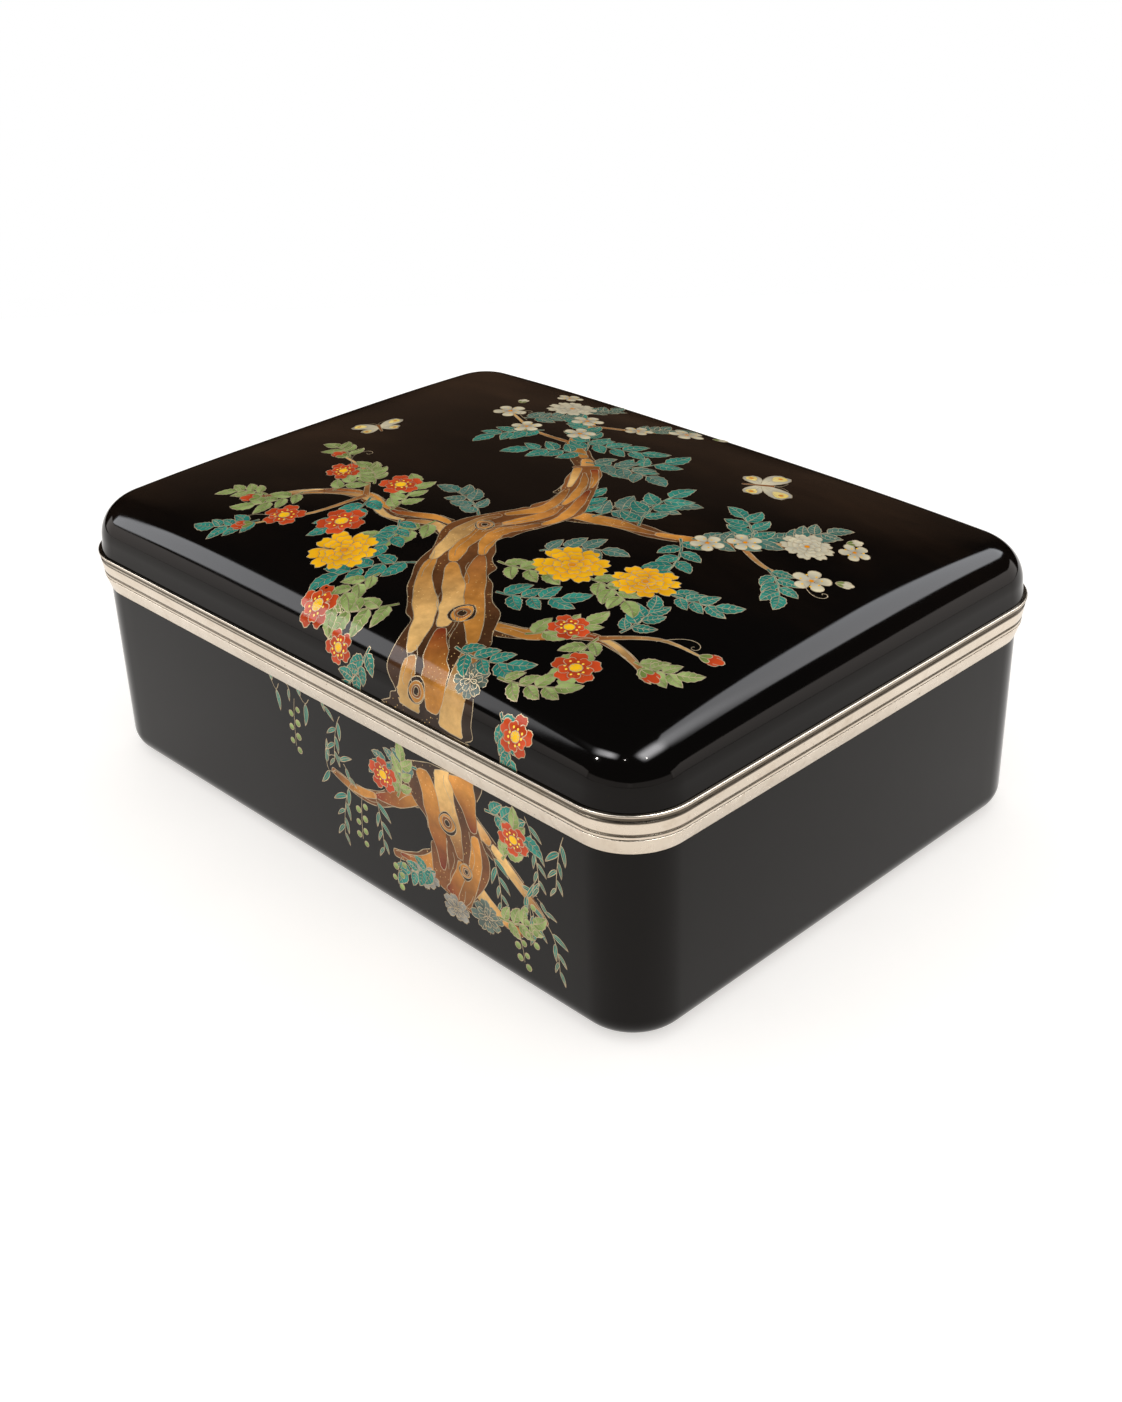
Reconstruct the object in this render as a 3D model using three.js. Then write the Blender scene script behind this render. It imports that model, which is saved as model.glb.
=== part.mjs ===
// Cloisonne table box with a lift-off domed lid.
//
// Units are millimetres. +X runs along the long side, the front faces -Y and +Z is up.
// The origin is at the middle of the flat underside, at table level.
//
// The base and the lid are each a copper shell with enamel fired on both faces. The edge of
// each shell sits in a moulded silver channel, and a silver flange that stands up inside the
// base's mouth locates the lid, which lifts straight off.
import * as THREE from 'three';

// Plan, measured over the bead of the lid's rim, which is the widest line of the box
const LENGTH = 210;
const WIDTH = 154;
const CORNER_RADIUS = 17;

// Heights
const BASE_HEIGHT = 56.5; // underside to the face where the two rims meet
const LID_WALL_HEIGHT = 2.9; // top of the lid's rim to the start of the shoulder
const SHOULDER_RADIUS = 10;
const CROWN_RISE = 8.5; // rise of the domed top above the shoulder
const CROWN_POWER = 3; // a higher power gives a flatter middle and steeper sides
const BOTTOM_RADIUS = 6.5;

// Walls, as insets from the bead
const BASE_WALL_INSET = 2.15;
const LID_WALL_INSET = 0.95;
const LID_WALL_LEAN = 0.5; // how far the lid's wall leans in from its rim to its shoulder

// Layers of each shell, from the outside in
const ENAMEL_THICKNESS = 1.2;
const COPPER_THICKNESS = 1.2;
const LINING_THICKNESS = 0.8;
const BOND_GAP = 0.1; // between a layer and the next one

// Silver rims
const RIM_HEIGHT = 5.3;
const LAND_THICKNESS = 1.5; // from the meeting face to the bottom of the channel
const PARTING_GAP = 0.2; // between the two rims
const EDGE_GAP = 0.15; // between a rim and the edge of a shell
const EDGE_BREAK = 0.2; // bevel on the silver's sharp edges
const LID_FOOT_INSET = 0.75; // lower edge of the lid's rim
const LID_BAND_INSET = 0.3; // upper edge of the lid's plain band
const COVE_HEIGHT = 1.2;
const COVE_DEPTH = 0.4;
const BEAD_HEIGHT = 0.8;
const BASE_LIP_INSET = 0.8; // upper edge of the base's rim
const FILLET_HEIGHT = 0.9; // narrow fillet above the base's plain band
const GROOVE_HEIGHT = 0.35; // line cut between that fillet and the band
const GROOVE_DEPTH = 0.35;
const BAND_PROUD = 0.1; // how far the foot of the base's band stands out from the enamel

// Locating flange
const FLANGE_RISE = 4.5; // above the meeting face
const FLANGE_THICKNESS = 1;
const FLANGE_LEAD_IN = 0.5;
const LID_CLEARANCE = 0.25; // running fit of the lid's rim round the flange
const LAND_STEP = 0.4; // least ledge of the lid's land inside its lining

// Fineness of the facets
const CORNER_STEPS = 8;
const DOME_SIDE_STEPS = 6;
const DOME_RINGS = 6;
const FILLET_STEPS = 5;
const SHOULDER_STEPS = 6;
const COVE_STEPS = 4;
const LEAST_RADIUS = 0.3; // of a fillet or corner on the inside of a thick wall

// Depths of the layers' faces below the outer face of the enamel
const COPPER_DEPTH = ENAMEL_THICKNESS + BOND_GAP;
const LINING_DEPTH = COPPER_DEPTH + COPPER_THICKNESS + BOND_GAP;
const SHELL_DEPTH = LINING_DEPTH + LINING_THICKNESS;

// Levels that follow from the heights
const LID_FOOT = BASE_HEIGHT + PARTING_GAP;
const LID_WALL_TOP = LID_FOOT + RIM_HEIGHT + LID_WALL_HEIGHT;
const BASE_ENAMEL_EDGE = BASE_HEIGHT - RIM_HEIGHT - EDGE_GAP;
const LID_ENAMEL_EDGE = LID_FOOT + RIM_HEIGHT + EDGE_GAP;
const BASE_COPPER_EDGE = BASE_HEIGHT - LAND_THICKNESS - EDGE_GAP;
const LID_COPPER_EDGE = LID_FOOT + LAND_THICKNESS + EDGE_GAP;

// The flange lines the base's mouth and clears the inside of the lid
const LID_LEG_INSET = LID_WALL_INSET + SHELL_DEPTH;
const FLANGE_INSET = Math.max(
  BASE_WALL_INSET + SHELL_DEPTH + BOND_GAP,
  LID_LEG_INSET + LID_WALL_LEAN + LAND_STEP + LID_CLEARANCE,
);
const FLANGE_SEAT_INSET = FLANGE_INSET - BOND_GAP;
const LID_LAND_INSET = FLANGE_INSET - LID_CLEARANCE;

// Plan points of the rounded rectangle that lies inset from the bead, anticlockwise from +X.
// Each straight side is split into sideSteps equal pieces.
function outline(inset, sideSteps = 1) {
  const radius = Math.max(CORNER_RADIUS - inset, LEAST_RADIUS);
  const centreX = LENGTH / 2 - inset - radius;
  const centreY = WIDTH / 2 - inset - radius;
  const quadrants = [[1, 1], [-1, 1], [-1, -1], [1, -1]];
  const corners = quadrants.map(([signX, signY], quadrant) => {
    const arc = [];
    for (let step = 0; step <= CORNER_STEPS; step += 1) {
      const angle = (quadrant + step / CORNER_STEPS) * Math.PI / 2;
      const x = signX * centreX + radius * Math.cos(angle);
      const y = signY * centreY + radius * Math.sin(angle);
      arc.push(new THREE.Vector2(x, y));
    }
    return arc;
  });
  const points = [];
  corners.forEach((arc, quadrant) => {
    const sideStart = arc[CORNER_STEPS];
    const sideEnd = corners[(quadrant + 1) % corners.length][0];
    points.push(...arc);
    for (let step = 1; step < sideSteps; step += 1) {
      points.push(new THREE.Vector2().lerpVectors(sideStart, sideEnd, step / sideSteps));
    }
  });
  return points;
}

// The same outline as a level loop
function levelLoop(inset, height) {
  return outline(inset).map((point) => new THREE.Vector3(point.x, point.y, height));
}

// A closed body skinned over a run of loops, which all have the same number of points. A loop
// of one point is a pole. Where the run starts and ends without poles, its end joins its start.
// Each four-sided facet folds along its higher diagonal, so faces that are parallel stay so.
function loft(loops) {
  const positions = [];
  const starts = [];
  loops.forEach((loop) => {
    starts.push(positions.length / 3);
    loop.forEach((point) => positions.push(point.x, point.y, point.z));
  });
  const vertex = (band, index) => starts[band] + index % loops[band].length;
  const height = (index) => positions[3 * index + 2];
  const ringed = loops[0].length > 1;
  const bands = ringed ? loops.length : loops.length - 1;
  const triangles = [];
  const addFace = (a, b, c) => {
    if (a !== b && b !== c && c !== a) triangles.push(a, b, c);
  };
  for (let band = 0; band < bands; band += 1) {
    const next = (band + 1) % loops.length;
    const around = Math.max(loops[band].length, loops[next].length);
    for (let index = 0; index < around; index += 1) {
      const near = vertex(band, index);
      const nearAhead = vertex(band, index + 1);
      const far = vertex(next, index);
      const farAhead = vertex(next, index + 1);
      if (height(near) + height(farAhead) >= height(nearAhead) + height(far)) {
        addFace(near, nearAhead, farAhead);
        addFace(near, farAhead, far);
      } else {
        addFace(near, nearAhead, far);
        addFace(nearAhead, farAhead, far);
      }
    }
  }
  const geometry = new THREE.BufferGeometry();
  geometry.setAttribute('position', new THREE.Float32BufferAttribute(positions, 3));
  geometry.setIndex(triangles);
  geometry.computeVertexNormals();
  return geometry;
}

// A ring of constant section: [inset, height] pairs, listed up the outside and down the inside
function sweptRing(section) {
  return loft(section.map(([inset, height]) => levelLoop(inset, height)));
}

// One face of the base's shell, from the middle of the floor up to its edge
function baseFace(depth, edge) {
  const radius = Math.max(BOTTOM_RADIUS - depth, LEAST_RADIUS);
  const loops = [[new THREE.Vector3(0, 0, depth)]];
  for (let step = FILLET_STEPS; step >= 0; step -= 1) {
    const angle = step / FILLET_STEPS * Math.PI / 2;
    const inset = BASE_WALL_INSET + depth + radius * (1 - Math.cos(angle));
    loops.push(levelLoop(inset, depth + radius * (1 - Math.sin(angle))));
  }
  loops.push(levelLoop(BASE_WALL_INSET + depth, edge));
  return loops;
}

// One layer of the base, between two depths below its outer face
function baseLayer(outerDepth, thickness, edge) {
  const outside = baseFace(outerDepth, edge);
  const inside = baseFace(outerDepth + thickness, edge).reverse();
  return loft([...outside, ...inside]);
}

// Height of the domed top above the shoulder: a pillow that dies away to nothing at the sides
function crown(point) {
  const inset = LID_WALL_INSET + LID_WALL_LEAN;
  const alongX = Math.abs(point.x) / (LENGTH / 2 - inset);
  const alongY = Math.abs(point.y) / (WIDTH / 2 - inset);
  return CROWN_RISE * (1 - alongX ** CROWN_POWER) * (1 - alongY ** CROWN_POWER);
}

// A loop of the lid's top, at a height that the crown adds to. scale draws it to the middle.
function crownedLoop(inset, height, scale = 1) {
  return outline(inset, DOME_SIDE_STEPS).map((point) => {
    point.multiplyScalar(scale);
    return new THREE.Vector3(point.x, point.y, height + crown(point));
  });
}

// One face of the lid's shell, from its edge up the wall and over the shoulder to the middle
function lidFace(depth, edge) {
  const footInset = LID_WALL_INSET + depth;
  const wallInset = footInset + LID_WALL_LEAN;
  const radius = Math.max(SHOULDER_RADIUS - depth, LEAST_RADIUS);
  const top = LID_WALL_TOP + SHOULDER_RADIUS - depth;
  const wallLevels = edge < LID_ENAMEL_EDGE ? [edge, LID_ENAMEL_EDGE] : [edge];
  const loops = wallLevels.map((level) => outline(footInset, DOME_SIDE_STEPS)
    .map((point) => new THREE.Vector3(point.x, point.y, level)));
  for (let step = 0; step <= SHOULDER_STEPS; step += 1) {
    const angle = step / SHOULDER_STEPS * Math.PI / 2;
    const inset = wallInset + radius * (1 - Math.cos(angle));
    loops.push(crownedLoop(inset, top - radius * (1 - Math.sin(angle))));
  }
  for (let ring = DOME_RINGS - 1; ring > 0; ring -= 1) {
    loops.push(crownedLoop(wallInset + radius, top, ring / DOME_RINGS));
  }
  loops.push([new THREE.Vector3(0, 0, top + CROWN_RISE)]);
  return loops;
}

// One layer of the lid, between two depths below its outer face
function lidLayer(outerDepth, thickness, edge) {
  const outside = lidFace(outerDepth, edge);
  const inside = lidFace(outerDepth + thickness, edge).reverse();
  return loft([...inside, ...outside]);
}

// The slot in a rim that takes the edge of the copper, as [inset, drop] pairs. A drop is
// counted from the face where the two rims meet.
function channel(wallInset) {
  const outer = wallInset + ENAMEL_THICKNESS;
  const inner = outer + COPPER_THICKNESS + 2 * BOND_GAP;
  return [[outer, RIM_HEIGHT], [outer, LAND_THICKNESS], [inner, LAND_THICKNESS], [inner, RIM_HEIGHT]];
}

// Base's rim: a narrow fillet, a cut line and a plain band that runs in to the wall
function baseRim() {
  const grooveTop = FILLET_HEIGHT;
  const bandTop = FILLET_HEIGHT + GROOVE_HEIGHT;
  const section = [
    [BASE_LIP_INSET + EDGE_BREAK, 0],
    [BASE_LIP_INSET, EDGE_BREAK],
    [BASE_LIP_INSET, grooveTop],
    [BASE_LIP_INSET + GROOVE_DEPTH, grooveTop + GROOVE_HEIGHT / 3],
    [BASE_LIP_INSET + GROOVE_DEPTH, grooveTop + GROOVE_HEIGHT * 2 / 3],
    [BASE_LIP_INSET, bandTop],
    [BASE_WALL_INSET - BAND_PROUD, RIM_HEIGHT],
    ...channel(BASE_WALL_INSET),
    [FLANGE_SEAT_INSET, RIM_HEIGHT],
    [FLANGE_SEAT_INSET, 0],
  ];
  return sweptRing(section.reverse().map(([inset, drop]) => [inset, BASE_HEIGHT - drop]));
}

// Lid's rim: a plain band that runs out to a hollow cove and a bead, and a land that rides
// round the flange
function lidRim() {
  const bandTop = RIM_HEIGHT - BEAD_HEIGHT - COVE_HEIGHT;
  const cove = [];
  for (let step = 1; step < COVE_STEPS; step += 1) {
    const along = step / COVE_STEPS;
    const hollow = COVE_DEPTH * Math.sin(along * Math.PI);
    const inset = THREE.MathUtils.lerp(LID_BAND_INSET, EDGE_BREAK, along) + hollow;
    cove.push([inset, bandTop + COVE_HEIGHT * along]);
  }
  const section = [
    [LID_FOOT_INSET + EDGE_BREAK, 0],
    [LID_FOOT_INSET, EDGE_BREAK],
    [LID_BAND_INSET, bandTop],
    ...cove,
    [EDGE_BREAK, RIM_HEIGHT - BEAD_HEIGHT],
    [0, RIM_HEIGHT - BEAD_HEIGHT + EDGE_BREAK],
    [0, RIM_HEIGHT - EDGE_BREAK],
    [EDGE_BREAK, RIM_HEIGHT],
    ...channel(LID_WALL_INSET),
    [LID_LEG_INSET, RIM_HEIGHT],
    [LID_LEG_INSET, LAND_THICKNESS],
    [LID_LAND_INSET, LAND_THICKNESS],
    [LID_LAND_INSET, 0],
  ];
  return sweptRing(section.map(([inset, drop]) => [inset, LID_FOOT + drop]));
}

// Flange: a flat strip that lines the rim's inner face, with its outer top edge bevelled
function baseFlange() {
  const foot = BASE_HEIGHT - RIM_HEIGHT;
  const top = BASE_HEIGHT + FLANGE_RISE;
  const leadIn = Math.min(FLANGE_LEAD_IN, FLANGE_THICKNESS / 2);
  return sweptRing([
    [FLANGE_INSET, foot],
    [FLANGE_INSET, top - leadIn * 2],
    [FLANGE_INSET + leadIn, top],
    [FLANGE_INSET + FLANGE_THICKNESS, top],
    [FLANGE_INSET + FLANGE_THICKNESS, foot],
  ]);
}

const blackEnamel = new THREE.MeshStandardMaterial({ color: 0x0e0c0b, roughness: 0.12 });
const liningEnamel = new THREE.MeshStandardMaterial({ color: 0x1b2a3c, roughness: 0.2 });
const copper = new THREE.MeshStandardMaterial({ color: 0xa8623f, roughness: 0.4, metalness: 1 });
const silver = new THREE.MeshStandardMaterial({ color: 0xd9cbb6, roughness: 0.28, metalness: 1 });

function piece(name, geometry, material) {
  const mesh = new THREE.Mesh(geometry, material);
  mesh.name = name;
  return mesh;
}

const base = new THREE.Group();
base.add(
  piece('base_enamel', baseLayer(0, ENAMEL_THICKNESS, BASE_ENAMEL_EDGE), blackEnamel),
  piece('base_copper_body', baseLayer(COPPER_DEPTH, COPPER_THICKNESS, BASE_COPPER_EDGE), copper),
  piece('base_lining', baseLayer(LINING_DEPTH, LINING_THICKNESS, BASE_ENAMEL_EDGE), liningEnamel),
  piece('base_rim', baseRim(), silver),
  piece('base_flange', baseFlange(), silver),
);

const lid = new THREE.Group();
lid.add(
  piece('lid_enamel', lidLayer(0, ENAMEL_THICKNESS, LID_ENAMEL_EDGE), blackEnamel),
  piece('lid_copper_body', lidLayer(COPPER_DEPTH, COPPER_THICKNESS, LID_COPPER_EDGE), copper),
  piece('lid_lining', lidLayer(LINING_DEPTH, LINING_THICKNESS, LID_ENAMEL_EDGE), liningEnamel),
  piece('lid_rim', lidRim(), silver),
);

const box = new THREE.Group();
box.add(base, lid);

export default box;
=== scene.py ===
# Looks of a cloisonne table box with a lift-off domed lid, on a pale floor in soft light.
#
# Lengths are millimetres until a mesh is made. +X runs along the long side, the decorated front
# faces -Y and +Z is up. Colours are linear.
import math
import random
from functools import reduce

import bpy
from mathutils import Matrix, Vector
from mathutils.geometry import delaunay_2d_cdt


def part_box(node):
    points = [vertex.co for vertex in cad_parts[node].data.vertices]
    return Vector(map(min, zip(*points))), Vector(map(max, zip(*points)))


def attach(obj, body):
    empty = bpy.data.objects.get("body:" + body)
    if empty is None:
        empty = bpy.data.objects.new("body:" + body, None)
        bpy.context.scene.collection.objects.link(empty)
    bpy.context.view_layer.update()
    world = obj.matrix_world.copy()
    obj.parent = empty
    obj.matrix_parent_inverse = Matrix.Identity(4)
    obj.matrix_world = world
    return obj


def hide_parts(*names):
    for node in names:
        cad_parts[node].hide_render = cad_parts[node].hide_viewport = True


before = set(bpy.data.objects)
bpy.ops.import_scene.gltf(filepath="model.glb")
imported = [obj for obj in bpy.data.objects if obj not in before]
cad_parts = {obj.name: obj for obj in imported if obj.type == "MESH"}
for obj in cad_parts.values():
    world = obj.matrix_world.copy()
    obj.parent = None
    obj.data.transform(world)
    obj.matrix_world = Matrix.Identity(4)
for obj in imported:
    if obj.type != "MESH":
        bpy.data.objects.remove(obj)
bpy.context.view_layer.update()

MM = 0.001


def extent(node):
    """Lowest and highest corner of a CAD node, in millimetres."""
    low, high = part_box(node)
    return low / MM, high / MM


# What the frame says
RIM_LOW, RIM_HIGH = extent("lid_rim")
BASE_RIM_LOW, BASE_RIM_HIGH = extent("base_rim")
BASE_LOW, BASE_HIGH = extent("base_enamel")
LID_LOW, LID_HIGH = extent("lid_enamel")
FLANGE_LOW, FLANGE_HIGH = extent("base_flange")
LENGTH = RIM_HIGH.x - RIM_LOW.x
WIDTH = RIM_HIGH.y - RIM_LOW.y
BASE_HEIGHT = BASE_RIM_HIGH.z
RIM_HEIGHT = BASE_RIM_HIGH.z - BASE_RIM_LOW.z
LID_FOOT = RIM_LOW.z
BASE_WALL_INSET = (LENGTH - BASE_HIGH.x + BASE_LOW.x) / 2
LID_WALL_INSET = (LENGTH - LID_HIGH.x + LID_LOW.x) / 2
FLANGE_INSET = (LENGTH - FLANGE_HIGH.x + FLANGE_LOW.x) / 2
BASE_EDGE = BASE_HIGH.z
LID_EDGE = LID_LOW.z

# The forms of the model that its boxes don't tell
CORNER_RADIUS = 17
BOTTOM_RADIUS = 6.5
SHOULDER_RADIUS = 10
CROWN_RISE = 8.5
CROWN_POWER = 3
LID_WALL_LEAN = 0.5
ENAMEL_THICKNESS = 1.2
COPPER_THICKNESS = 1.2
LINING_THICKNESS = 0.8
BOND_GAP = 0.1
LAND_THICKNESS = 1.5
LEAST_RADIUS = 0.3
LINING_DEPTH = ENAMEL_THICKNESS + COPPER_THICKNESS + 2 * BOND_GAP
SHELL_DEPTH = LINING_DEPTH + LINING_THICKNESS
LID_WALL_TOP = LID_HIGH.z - CROWN_RISE - SHOULDER_RADIUS
LID_BROW_INSET = LID_WALL_INSET + LID_WALL_LEAN

# Fineness of the meshes
CORNER_STEPS = 20
LONG_STEPS = 36
SHORT_STEPS = 28
SHOULDER_STEPS = 16
DOME_RINGS = 28
FILLET_STEPS = 10
EDGE_STEPS = 4


def outline(inset):
    """Plan points of the rounded rectangle that lies inset from the bead of the lid's rim."""
    radius = max(CORNER_RADIUS - inset, LEAST_RADIUS)
    centre_x = LENGTH / 2 - inset - radius
    centre_y = WIDTH / 2 - inset - radius
    corners = []
    for quadrant, (sign_x, sign_y) in enumerate(((1, 1), (-1, 1), (-1, -1), (1, -1))):
        arc = []
        for step in range(CORNER_STEPS + 1):
            angle = (quadrant + step / CORNER_STEPS) * math.pi / 2
            x = sign_x * centre_x + radius * math.cos(angle)
            y = sign_y * centre_y + radius * math.sin(angle)
            arc.append(Vector((x, y)))
        corners.append(arc)
    points = []
    for quadrant, arc in enumerate(corners):
        side_steps = SHORT_STEPS if quadrant % 2 else LONG_STEPS
        side_end = corners[(quadrant + 1) % 4][0]
        points += arc
        points += [arc[-1].lerp(side_end, step / side_steps) for step in range(1, side_steps)]
    return points


def level_loop(inset, height):
    return [(point.x, point.y, height) for point in outline(inset)]


def crown(x, y):
    """Height of the domed top above the shoulder."""
    along_x = abs(x) / (LENGTH / 2 - LID_BROW_INSET)
    along_y = abs(y) / (WIDTH / 2 - LID_BROW_INSET)
    return CROWN_RISE * (1 - along_x ** CROWN_POWER) * (1 - along_y ** CROWN_POWER)


def crowned_loop(inset, height, scale=1.0):
    points = [point * scale for point in outline(inset)]
    return [(point.x, point.y, height + crown(point.x, point.y)) for point in points]


def loft(loops):
    """Points and faces skinned over a run of loops. A loop of one point is a pole."""
    points = [point for loop in loops for point in loop]
    starts = [0]
    for loop in loops:
        starts.append(starts[-1] + len(loop))
    closed = len(loops[0]) > 1
    faces = []
    for band in range(len(loops) if closed else len(loops) - 1):
        after = (band + 1) % len(loops)
        around = max(len(loops[band]), len(loops[after]))
        for index in range(around):
            corners = [
                starts[band] + index % len(loops[band]),
                starts[band] + (index + 1) % len(loops[band]),
                starts[after] + (index + 1) % len(loops[after]),
                starts[after] + index % len(loops[after]),
            ]
            faces.append(list(dict.fromkeys(corners)))
    return points, faces


def base_face(depth, edge):
    """Loops of one face of the base's shell, from the middle of the floor up to its edge."""
    radius = max(BOTTOM_RADIUS - depth, LEAST_RADIUS)
    wall_inset = BASE_WALL_INSET + depth
    loops = [[(0, 0, depth)]]
    for step in range(FILLET_STEPS, -1, -1):
        angle = step / FILLET_STEPS * math.pi / 2
        inset = wall_inset + radius * (1 - math.cos(angle))
        loops.append(level_loop(inset, depth + radius * (1 - math.sin(angle))))
    loops.append(level_loop(wall_inset, edge))
    return loops


def base_layer(depth, thickness):
    return loft(base_face(depth, BASE_EDGE) + base_face(depth + thickness, BASE_EDGE)[::-1])


def lid_face(depth, edge):
    """Loops of one face of the lid's shell, from its edge over the shoulder to the middle."""
    brow_inset = LID_BROW_INSET + depth
    radius = max(SHOULDER_RADIUS - depth, LEAST_RADIUS)
    top = LID_WALL_TOP + SHOULDER_RADIUS - depth
    loops = [level_loop(LID_WALL_INSET + depth, edge)]
    for step in range(SHOULDER_STEPS + 1):
        angle = step / SHOULDER_STEPS * math.pi / 2
        inset = brow_inset + radius * (1 - math.cos(angle))
        loops.append(crowned_loop(inset, top - radius * (1 - math.sin(angle))))
    for ring in range(DOME_RINGS - 1, 0, -1):
        loops.append(crowned_loop(brow_inset + radius, top, ring / DOME_RINGS))
    loops.append([(0, 0, top + CROWN_RISE)])
    return loops


def lid_layer(depth, thickness):
    return loft(lid_face(depth + thickness, LID_EDGE) + lid_face(depth, LID_EDGE)[::-1])


def filleted(corners):
    """A closed profile with rounded corners, from [inset, height, radius] triples."""
    points = []
    for index, (inset, height, radius) in enumerate(corners):
        here = Vector((inset, height))
        before = Vector(corners[index - 1][:2]) - here
        after = Vector(corners[(index + 1) % len(corners)][:2]) - here
        if radius == 0:
            points.append(here)
            continue
        start = here + before.normalized() * min(radius, before.length / 2)
        end = here + after.normalized() * min(radius, after.length / 2)
        for step in range(EDGE_STEPS + 1):
            t = step / EDGE_STEPS
            points.append(start.lerp(here, t).lerp(here.lerp(end, t), t))
    return points


def swept_ring(profile):
    return loft([level_loop(point.x, point.y) for point in profile])


def channel(wall_inset, face, outward):
    """Corners of the slot in a rim for the copper's edge. outward is +1 up or -1 down."""
    outer = wall_inset + ENAMEL_THICKNESS
    inner = outer + COPPER_THICKNESS + 2 * BOND_GAP
    floor_level = face + outward * LAND_THICKNESS
    lip = face + outward * RIM_HEIGHT
    return [(outer, lip, 0), (outer, floor_level, 0), (inner, floor_level, 0), (inner, lip, 0)]


FILLET_BAND = 0.9
GROOVE = 0.35
BASE_LIP_INSET = 0.8
BAND_PROUD = 0.1
COVE_HEIGHT = 1.2
COVE_DEPTH = 0.4
BEAD_HEIGHT = 0.8
LID_FOOT_INSET = 0.75
LID_BAND_INSET = 0.3
LID_CLEARANCE = 0.25
FLANGE_THICKNESS = 1.0
FLANGE_LEAD = 1.0 # height of the bevel that leads the lid on
RIM_TOP = LID_FOOT + RIM_HEIGHT


def base_rim_profile():
    band_top = BASE_HEIGHT - FILLET_BAND - GROOVE
    foot = BASE_HEIGHT - RIM_HEIGHT
    seat = FLANGE_INSET - BOND_GAP
    corners = [
        (BASE_LIP_INSET, BASE_HEIGHT, 0.3),
        (BASE_LIP_INSET, BASE_HEIGHT - FILLET_BAND, 0.12),
        (BASE_LIP_INSET + GROOVE, BASE_HEIGHT - FILLET_BAND - GROOVE / 3, 0.1),
        (BASE_LIP_INSET + GROOVE, BASE_HEIGHT - FILLET_BAND - GROOVE * 2 / 3, 0.1),
        (BASE_LIP_INSET, band_top, 0.2),
        (BASE_WALL_INSET - BAND_PROUD, foot, 0.15),
        *channel(BASE_WALL_INSET, BASE_HEIGHT, -1),
        (seat, foot, 0),
        (seat, BASE_HEIGHT, 0),
    ]
    return filleted(corners)[::-1]


def lid_rim_profile():
    bead_foot = RIM_TOP - BEAD_HEIGHT
    cove_foot = bead_foot - COVE_HEIGHT
    leg = LID_WALL_INSET + SHELL_DEPTH
    land = FLANGE_INSET - LID_CLEARANCE
    corners = [
        (LID_FOOT_INSET, LID_FOOT, 0.25),
        (LID_BAND_INSET, cove_foot, 0.12),
        (LID_BAND_INSET + COVE_DEPTH, cove_foot + COVE_HEIGHT * 0.35, 0.5),
        (LID_BAND_INSET + COVE_DEPTH * 0.8, bead_foot, 0.3),
        (0, bead_foot, 0.4),
        (0, RIM_TOP, 0.4),
        *channel(LID_WALL_INSET, LID_FOOT, 1),
        (leg, RIM_TOP, 0),
        (leg, LID_FOOT + LAND_THICKNESS, 0),
        (land, LID_FOOT + LAND_THICKNESS, 0.1),
        (land, LID_FOOT, 0.1),
    ]
    return filleted(corners)


def flange_profile():
    corners = [
        (FLANGE_INSET, FLANGE_LOW.z, 0.1),
        (FLANGE_INSET, FLANGE_HIGH.z - FLANGE_LEAD, 0.3),
        (FLANGE_INSET + FLANGE_LEAD / 2, FLANGE_HIGH.z, 0.3),
        (FLANGE_INSET + FLANGE_THICKNESS, FLANGE_HIGH.z, 0.2),
        (FLANGE_INSET + FLANGE_THICKNESS, FLANGE_LOW.z, 0.1),
    ]
    return filleted(corners)


def add_object(name, data):
    """A new object in the scene."""
    thing = bpy.data.objects.new(name, data)
    bpy.context.scene.collection.objects.link(thing)
    return thing


def new_piece(name, points, faces, material, body, sharp_angle=35):
    """A smooth-shaded mesh object in metres that rides on a body."""
    mesh = bpy.data.meshes.new(name)
    mesh.from_pydata([Vector(point) * MM for point in points], [], faces)
    mesh.materials.append(material)
    mesh.validate()
    mesh.shade_smooth()
    mesh.set_sharp_from_angle(angle=math.radians(sharp_angle))
    piece = add_object(name, mesh)
    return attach(piece, body)


class Tree:
    """Short ways to add the nodes of one tree."""

    def __init__(self, tree):
        self.tree = tree

    def feed(self, socket, value):
        """Sets a socket to a number or a colour, or links it to another node's output."""
        if isinstance(value, (int, float)):
            socket.default_value = value
        elif isinstance(value, tuple):
            socket.default_value = (*value, 1.0)
        else:
            self.tree.links.new(value, socket)

    def add(self, kind, sockets=(), **settings):
        """A node with those settings, and with values or outputs fed into its sockets."""
        node = self.tree.nodes.new(kind)
        for key, value in settings.items():
            setattr(node, key, value)
        for key, value in dict(sockets).items():
            self.feed(node.inputs[key], value)
        return node

    def ramp(self, source, low, high, start=0.0, end=1.0, easing="LINEAR"):
        """source, low to high, as start to end, and held beyond them."""
        sockets = {"Value": source, "From Min": low, "From Max": high, "To Min": start, "To Max": end}
        return self.add("ShaderNodeMapRange", sockets, interpolation_type=easing).outputs["Result"]

    def math(self, operation, first, second):
        return self.add("ShaderNodeMath", {0: first, 1: second}, operation=operation).outputs["Value"]

    def times(self, first, second):
        return self.math("MULTIPLY", first, second)


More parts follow.
